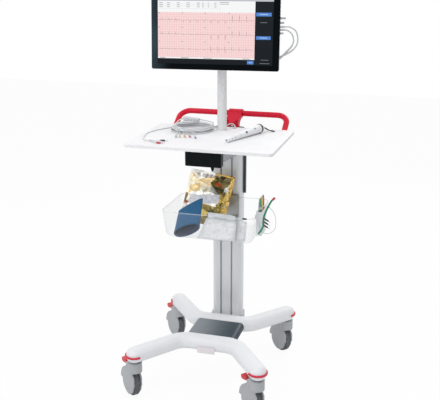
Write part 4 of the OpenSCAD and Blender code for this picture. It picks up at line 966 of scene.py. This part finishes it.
def soft_piece(piece, material, replaced):
    piece.data.materials.append(material)
    piece.data.shade_smooth()
    smooth = piece.modifiers.new("film_smooth", "SUBSURF")
    smooth.levels = smooth.render_levels = 1
    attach(piece, "trolley")
    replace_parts(piece, replaced)
    return piece


def foil_finish():
    """Crumpled gold foil with painted light: a painted highlight makes it pale and bright at the left and top,
    painted shade makes it olive at the right, and each facet is painted lighter or darker.
    """
    finish = Finish("gold_foil", tone(226, 190, 112), 0.3, metallic=0.7)
    s, t, _ = finish.axes(finish.place(source="UV"))
    warp = (finish.noise(26, 3) - 0.5) * 0.12
    label = s.between(0.13, 0.77) * (t - s * 0.16).between(0.31, 0.48)
    border = finish.larger(s > 0.925, (t > 0.97) * (s > 0.55))
    s, t = s + warp, t - warp * 0.6
    folds = finish.place(turn=(0, 0.62, 0), scale=(1.6, 1, 0.8))
    cells = finish.node("TexVoronoi", {"feature": "F1"}, {"Vector": folds, "Scale": 24.0, "Randomness": 1.0})
    tilt = finish.axes(Field(finish, cells.socket.node.outputs["Color"]))
    seat = finish.axes(Field(finish, cells.socket.node.outputs["Position"]))
    here = finish.axes(folds)
    planes = (tilt[0] - 0.5) * (here[0] - seat[0]) + (tilt[1] - 0.5) * (here[2] - seat[2])
    small = finish.node("TexVoronoi", {"feature": "F1"},
                        {"Vector": finish.place(), "Scale": 150.0, "Randomness": 1.0})
    # Painted light on the facets: each crumple cell takes its own lightness.
    step = tilt[2]
    band = (t < s * 0.43 + 0.69) * (t > 0.82 - s * 0.17) * (s < 0.66)
    left_gold = s.between(0.06, 0.3) * (t - s * 0.3).between(0.52, 0.66)
    # The masks below are painted shade: olive at the right, a painted half shade at the lower right, olive along
    # the lower middle and at the left edge.
    corner = abs(t - 0.79) * 1.2 + 0.49
    dark = (s > corner) * (t > finish.larger(s - 0.75, 0) * 1.2 + 0.6) * (s < 0.93)
    half_shade = (s > 0.74) * (t < 0.66) * (s < 0.93)
    low = (t < 0.37) * s.between(0.42, 0.86)
    side = (s < 0.06) * t.between(0.34, 0.52)
    # The pale base colour is a painted highlight with the painted facet light mixed in; the gold bands, the half
    # shade and the painted shade go over it.
    color = finish.mix(step.ramp(0.4, 1.0) * 0.75, tone(255, 254, 246), tone(254, 234, 186))
    color = finish.mix(finish.larger(band, left_gold) * 0.85, color,
                       finish.mix(step, tone(250, 222, 158), tone(226, 184, 108)))
    color = finish.mix(half_shade, color, finish.mix(step, tone(226, 196, 112), tone(160, 134, 66)))
    color = finish.mix(finish.larger(finish.larger(dark, low), side) * 0.95, color,
                       finish.mix(step, tone(86, 78, 38), tone(158, 138, 70)))
    patch_a = s.between(0.58, 0.77) * (t + s * 0.25).between(0.92, 0.985)
    patch_b = (s < 0.13) * (t - s * 0.3).between(0.14, 0.34)
    color = finish.mix((patch_a + patch_b) * finish.noise(70, 4).ramp(0.35, 0.55), color, tone(158, 66, 28))
    color = finish.mix(border, color, finish.mix(small.ramp(0.1, 0.5), tone(255, 236, 172), tone(214, 172, 88)))
    lines = ((t * 34 % 1) < 0.4) * (finish.noise(90, 2) > 0.5)
    bare = finish.mix(finish.noise(60, 4).ramp(0.4, 0.7) * 0.6 + lines * 0.3,
                      tone(248, 249, 253), tone(206, 208, 220))
    finish.feed({"Metallic": 0.62 + s * 0.35 - label * 0.95})
    return finish.done(finish.mix(label * 0.95, color, bare),
                       label * 0.3 + step * 0.1 + 0.3 - s * 0.14,
                       finish.bump(planes * (s * 0.4 + 0.35) + small * (border * 0.0012 + 0.0001) + warp * 0.01,
                                   1.0))


def paper_finish(name, color):
    """Pack paper: faint fibres, heat-sealed bands along the edges and handling creases, painted darker along them
    as painted shade.
    """
    finish = Finish(name, color, 0.6)
    s, t, _ = finish.axes(finish.place(source="UV"))
    seal = (s < 0.07) + (s > 0.93) + (t < 0.06) + (t > 0.9)
    ribs = ((s + t) * 60 % 1) < 0.5
    fibres = finish.noise(500, 4)
    creases_and_painted_shade = abs(finish.noise(16, 3, distortion=0.5) - 0.5).ramp(0.0, 0.03)
    # Painted shade: the colour is darker along the creases.
    color_mix = finish.mix(creases_and_painted_shade, shade(color, 0.84), finish.mix(fibres, shade(color, 1.02), shade(color, 0.94)))
    return finish.done(finish.mix(seal * 0.6, color_mix, tone(222, 227, 231)),
                       fibres * 0.2 + 0.42,
                       finish.bump(creases_and_painted_shade * 0.8 + seal * ribs * 0.3 + fibres * 0.1, 0.0006))


def cuff_finish(name, color):
    """Woven nylon: plain weave along the cuff, faded on folds, stitched near the edges."""
    finish = Finish(name, color, 0.75, sheen_weight=0.35, sheen_roughness=0.4)
    s, t, _ = finish.axes(finish.place(source="UV"))
    warp_thread = finish.math("SINE", s * 900)
    weft_thread = finish.math("SINE", t * 900)
    fade = finish.noise(26, 4)
    stitch = ((s * 130 % 1) < 0.6) * ((t.between(0.045, 0.06)) + (t.between(0.94, 0.955)))
    cloth = finish.mix(fade, shade(color, 0.86), shade(color, 1.25))
    cloth = finish.mix((warp_thread * weft_thread) * 0.14 + 0.14, cloth, shade(color, 0.6))
    return finish.done(finish.mix(stitch * 0.5, cloth, shade(color, 1.9)),
                       fade * 0.15 + 0.66,
                       finish.bump(warp_thread * weft_thread * 0.5 + stitch * 1.4 + fade * 2, 0.0003))


def foil_pouch():
    place = (Matrix.Translation((-0.072, 0.004, 0.7044)) @ turn(8, "Y")
             @ turn(-20, "X"))
    film = film_sheet([(-0.106, 0.002), (0.096, 0.002), (0.101, 0.234), (-0.102, 0.232)], 0.0045, 0.0048)
    pouch = blown("foil_pouch_film", film, place, pressure=5, growth=0.06, cap=0.013, seam=0.045, fold=0.004)
    soft_piece(pouch, foil_finish(), "foil_pouch")


def sterile_packs():
    paper = paper_finish("pack_paper", tone(243, 244, 245))
    blue_paper = paper_finish("pack_film", tone(232, 236, 240))
    first = Matrix.Translation((0.052, -0.1295, 0.6854)) @ turn(9, "Z") \
        @ turn(2, "Y")
    second = Matrix.Translation((0.070, -0.098, 0.6852)) @ turn(-3, "Z") \
        @ turn(4, "Y")
    packs = [(first, -0.0045, [(-0.100, 0.004), (0.060, 0.002), (0.066, 0.088), (-0.062, 0.098)], paper),
             (first, 0.0045, [(-0.060, 0.004), (0.063, 0.003), (0.060, 0.112), (-0.058, 0.121)], blue_paper),
             (second, -0.005, [(-0.052, 0.007), (0.084, 0.005), (0.085, 0.092), (-0.05, 0.103)], paper),
             (second, 0.005, [(-0.050, 0.006), (0.079, 0.006), (0.077, 0.085), (-0.045, 0.099)], blue_paper)]
    for i, (place, shift, outline, material) in enumerate(packs):
        film = film_sheet(outline, 0.002, 0.005)
        pack = blown("sterile_pack_%d" % (i + 1), film, place @ Matrix.Translation((0, shift, 0)), pressure=2.5,
                     growth=0.04, cap=0.0035, seam=0.07, seed=7.0 * i, fold=0.0016)
        soft_piece(pack, material, "sterile_packs")


def cuff():
    """The blood-pressure cuff: one wide strip rolled up, its open end to the front, its top pressed flat."""
    fabric = cuff_finish("cuff_blue", tone(30, 96, 140))
    # One face of the strip takes a darker navy copy of the blue cloth, painted shade that shows in the mouth of the
    # roll; the other face and the edges take the blue.
    shaded_navy = cuff_finish("cuff_navy", tone(20, 40, 64))
    mesh = bmesh.new()
    uv = mesh.loops.layers.uv.new("flat")
    verts = [mesh.verts.new((k / CUFF_CELLS, 0, 0)) for k in range(CUFF_CELLS + 1)]
    edges = [mesh.edges.new(pair) for pair in zip(verts, verts[1:])]
    for _ in range(CUFF_ROWS):
        made = bmesh.ops.extrude_edge_only(mesh, edges=edges)["geom"]
        fresh = [v for v in made if isinstance(v, bmesh.types.BMVert)]
        bmesh.ops.translate(mesh, vec=(0, 1 / CUFF_ROWS, 0), verts=fresh)
        edges = [e for e in made if isinstance(e, bmesh.types.BMEdge)
                 and abs(e.verts[0].co.y - e.verts[1].co.y) < 1e-6]
    for face in mesh.faces:
        for loop in face.loops:
            loop[uv].uv = (loop.vert.co.x * 6, loop.vert.co.y)
    for vert in mesh.verts:
        wrap, rise = vert.co.x, vert.co.y
        angle = CUFF_START + TAU * CUFF_TURNS * wrap
        layer = 0.62 + 0.38 * wrap
        flat = rise ** 0.8
        half_l = (CUFF_HALF_L + 0.002 * rise) * (0.55 + 0.45 * layer)
        half_h = (CUFF_HALF_H * (1 - flat) + CUFF_FLAT_H * flat) * layer
        lean = math.radians(25 + 7 * rise)
        x, z = half_l * math.cos(angle), half_h * math.sin(angle)
        centre = CUFF_FRONT.lerp(CUFF_REAR, rise)
        sag = 0.0022 * noise.noise(Vector((wrap * 9, rise * 4, 2)))
        vert.co = centre + Vector((x * math.cos(lean) - z * math.sin(lean), -z * 0.35 * rise + sag,
                                   x * math.sin(lean) + z * math.cos(lean) + sag))
    bmesh.ops.recalc_face_normals(mesh, faces=mesh.faces)
    strip = finished_piece("cuff_strip", mesh, "trolley", "cuff_fabric", shaded_navy, fabric, smooth=180)
    wall = strip.modifiers.new("cloth_thickness", "SOLIDIFY")
    wall.thickness, wall.offset = CUFF_T, -1
    wall.material_offset, wall.material_offset_rim = 1, 1
    rounding = strip.modifiers.new("cloth_round", "SUBSURF")
    rounding.levels = rounding.render_levels = 1
    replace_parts(strip, "cuff_roll")


foil_pouch()
sterile_packs()
cuff()


PLATE_SIZE, PLATE_PLACE, PLATE_LEAN = (0.080, 0.0014, 0.033), (-0.001, -0.1776, 0.1852), 7


def name_plate():
    """The bare name plate, fixed to the front beam and standing a little below it."""
    plate = box((0, 0, 0), PLATE_SIZE, corner=0.003, axis=1, segments=4)
    moved(plate, Matrix.Translation(PLATE_PLACE) @ turn(PLATE_LEAN, "X"))
    plate = finished_piece("bare_name_plate", plate, "trolley", "cast_grey", label_bare)
    bevelled(plate, 0.4 * MM, 2, angle=60)


name_plate()

# ------------------------------------------------------------ finishes of the made parts

FINISHES = {"saddle_dark": saddle_finish(), "bright_steel": steel, "column_silver": column_finish(),
            "box_black": box_plastic, "cable_grey": monitor_sheath, "hook_steel": dull_steel,
            "handset_white": handset_finish(), "tyre_dark": rubber("tyre_rubber", tone(84, 88, 91), 0.6, dust=0.3)}
for maker, stuff, slot, color, roughness, more in (
        (coated, "coat", "beam_white", (238, 239, 241), 0.4, {"dust": 0.25}),
        (coated, "coat", "cast_grey", (206, 209, 211), 0.4, {}),
        (coated, "coat", "bracket_grey", (158, 161, 167), 0.4, {}),
        (coated, "coat", "handle_red", (216, 0, 46), 0.42, {}),
        (coated, "coat", "post_white", (222, 222, 223), 0.4, {}),
        (rubber, "rubber", "bumper_red", (212, 14, 54), 0.45, {"dust": 0.12}),
        (moulded, "nylon", "caster_grey", (176, 179, 181), 0.44, {"specular_ior_level": 0.3}),
        (moulded, "nylon", "wheel_core", (190, 192, 193), 0.46, {}),
        (moulded, "nylon", "pedal_red", (214, 52, 54), 0.4, {}),
        (moulded, "board", "top_white", (238, 238, 239), 0.52,
         {"grain": 0.00004, "grain_scale": 900, "specular_ior_level": 0.2}),
        (moulded, "plastic", "trim_dark", (58, 62, 66), 0.5, {}),
        (moulded, "plastic", "case_white", (232, 234, 235), 0.4, {}),
        (moulded, "plastic", "rack_white", (226, 228, 230), 0.42, {}),
        (moulded, "plastic", "clamp_pale", (206, 210, 212), 0.4, {}),
        (moulded, "plastic", "clamp_green", (36, 140, 100), 0.38, {}),
        (moulded, "plastic", "clamp_yellow", (228, 190, 50), 0.38, {}),
        (moulded, "plastic", "clamp_red", (206, 46, 60), 0.38, {}),
        (moulded, "plastic", "handset_black", (38, 40, 43), 0.4, {})):
    FINISHES[slot] = maker(slot + "_" + stuff, tone(*color), roughness, **more)


def finish_made_parts():
    """Every part of the frame takes the finish of its slot."""
    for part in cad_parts.values():
        slot = part.material_slots[0]
        if slot.material.name in FINISHES:
            slot.material = FINISHES[slot.material.name]


def bezel_finish():
    """Near-black glossy frame round the picture, with a pale painted reflection mixed into its colour towards its
    left side.
    """
    finish = Finish("bezel_gloss", tone(4, 6, 8), 0.12, specular_ior_level=0.03)
    across = finish.axes(finish.place(centre=SCREEN.translation, turn=tuple(SCREEN.to_euler())))[0]
    # A painted reflection: the colour turns pale teal towards the left side of the frame.
    painted_sheen = 1 - across.ramp(-0.27, -0.18)
    finish.feed({"Roughness": finish.noise(26, 6, roughness=0.7) * 0.16 + 0.06,
                 "Base Color": finish.mix(painted_sheen * finish.noise(5, 3) + finish.noise(4, 3) * 0.04,
                                          tone(3, 6, 9), tone(66, 82, 90))})
    return finish.material


finish_made_parts()
console_shell()
for node, material in (("monitor_bezel", bezel_finish()), ("screen_panel", screen_finish())):
    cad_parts[node].material_slots[0].material = material
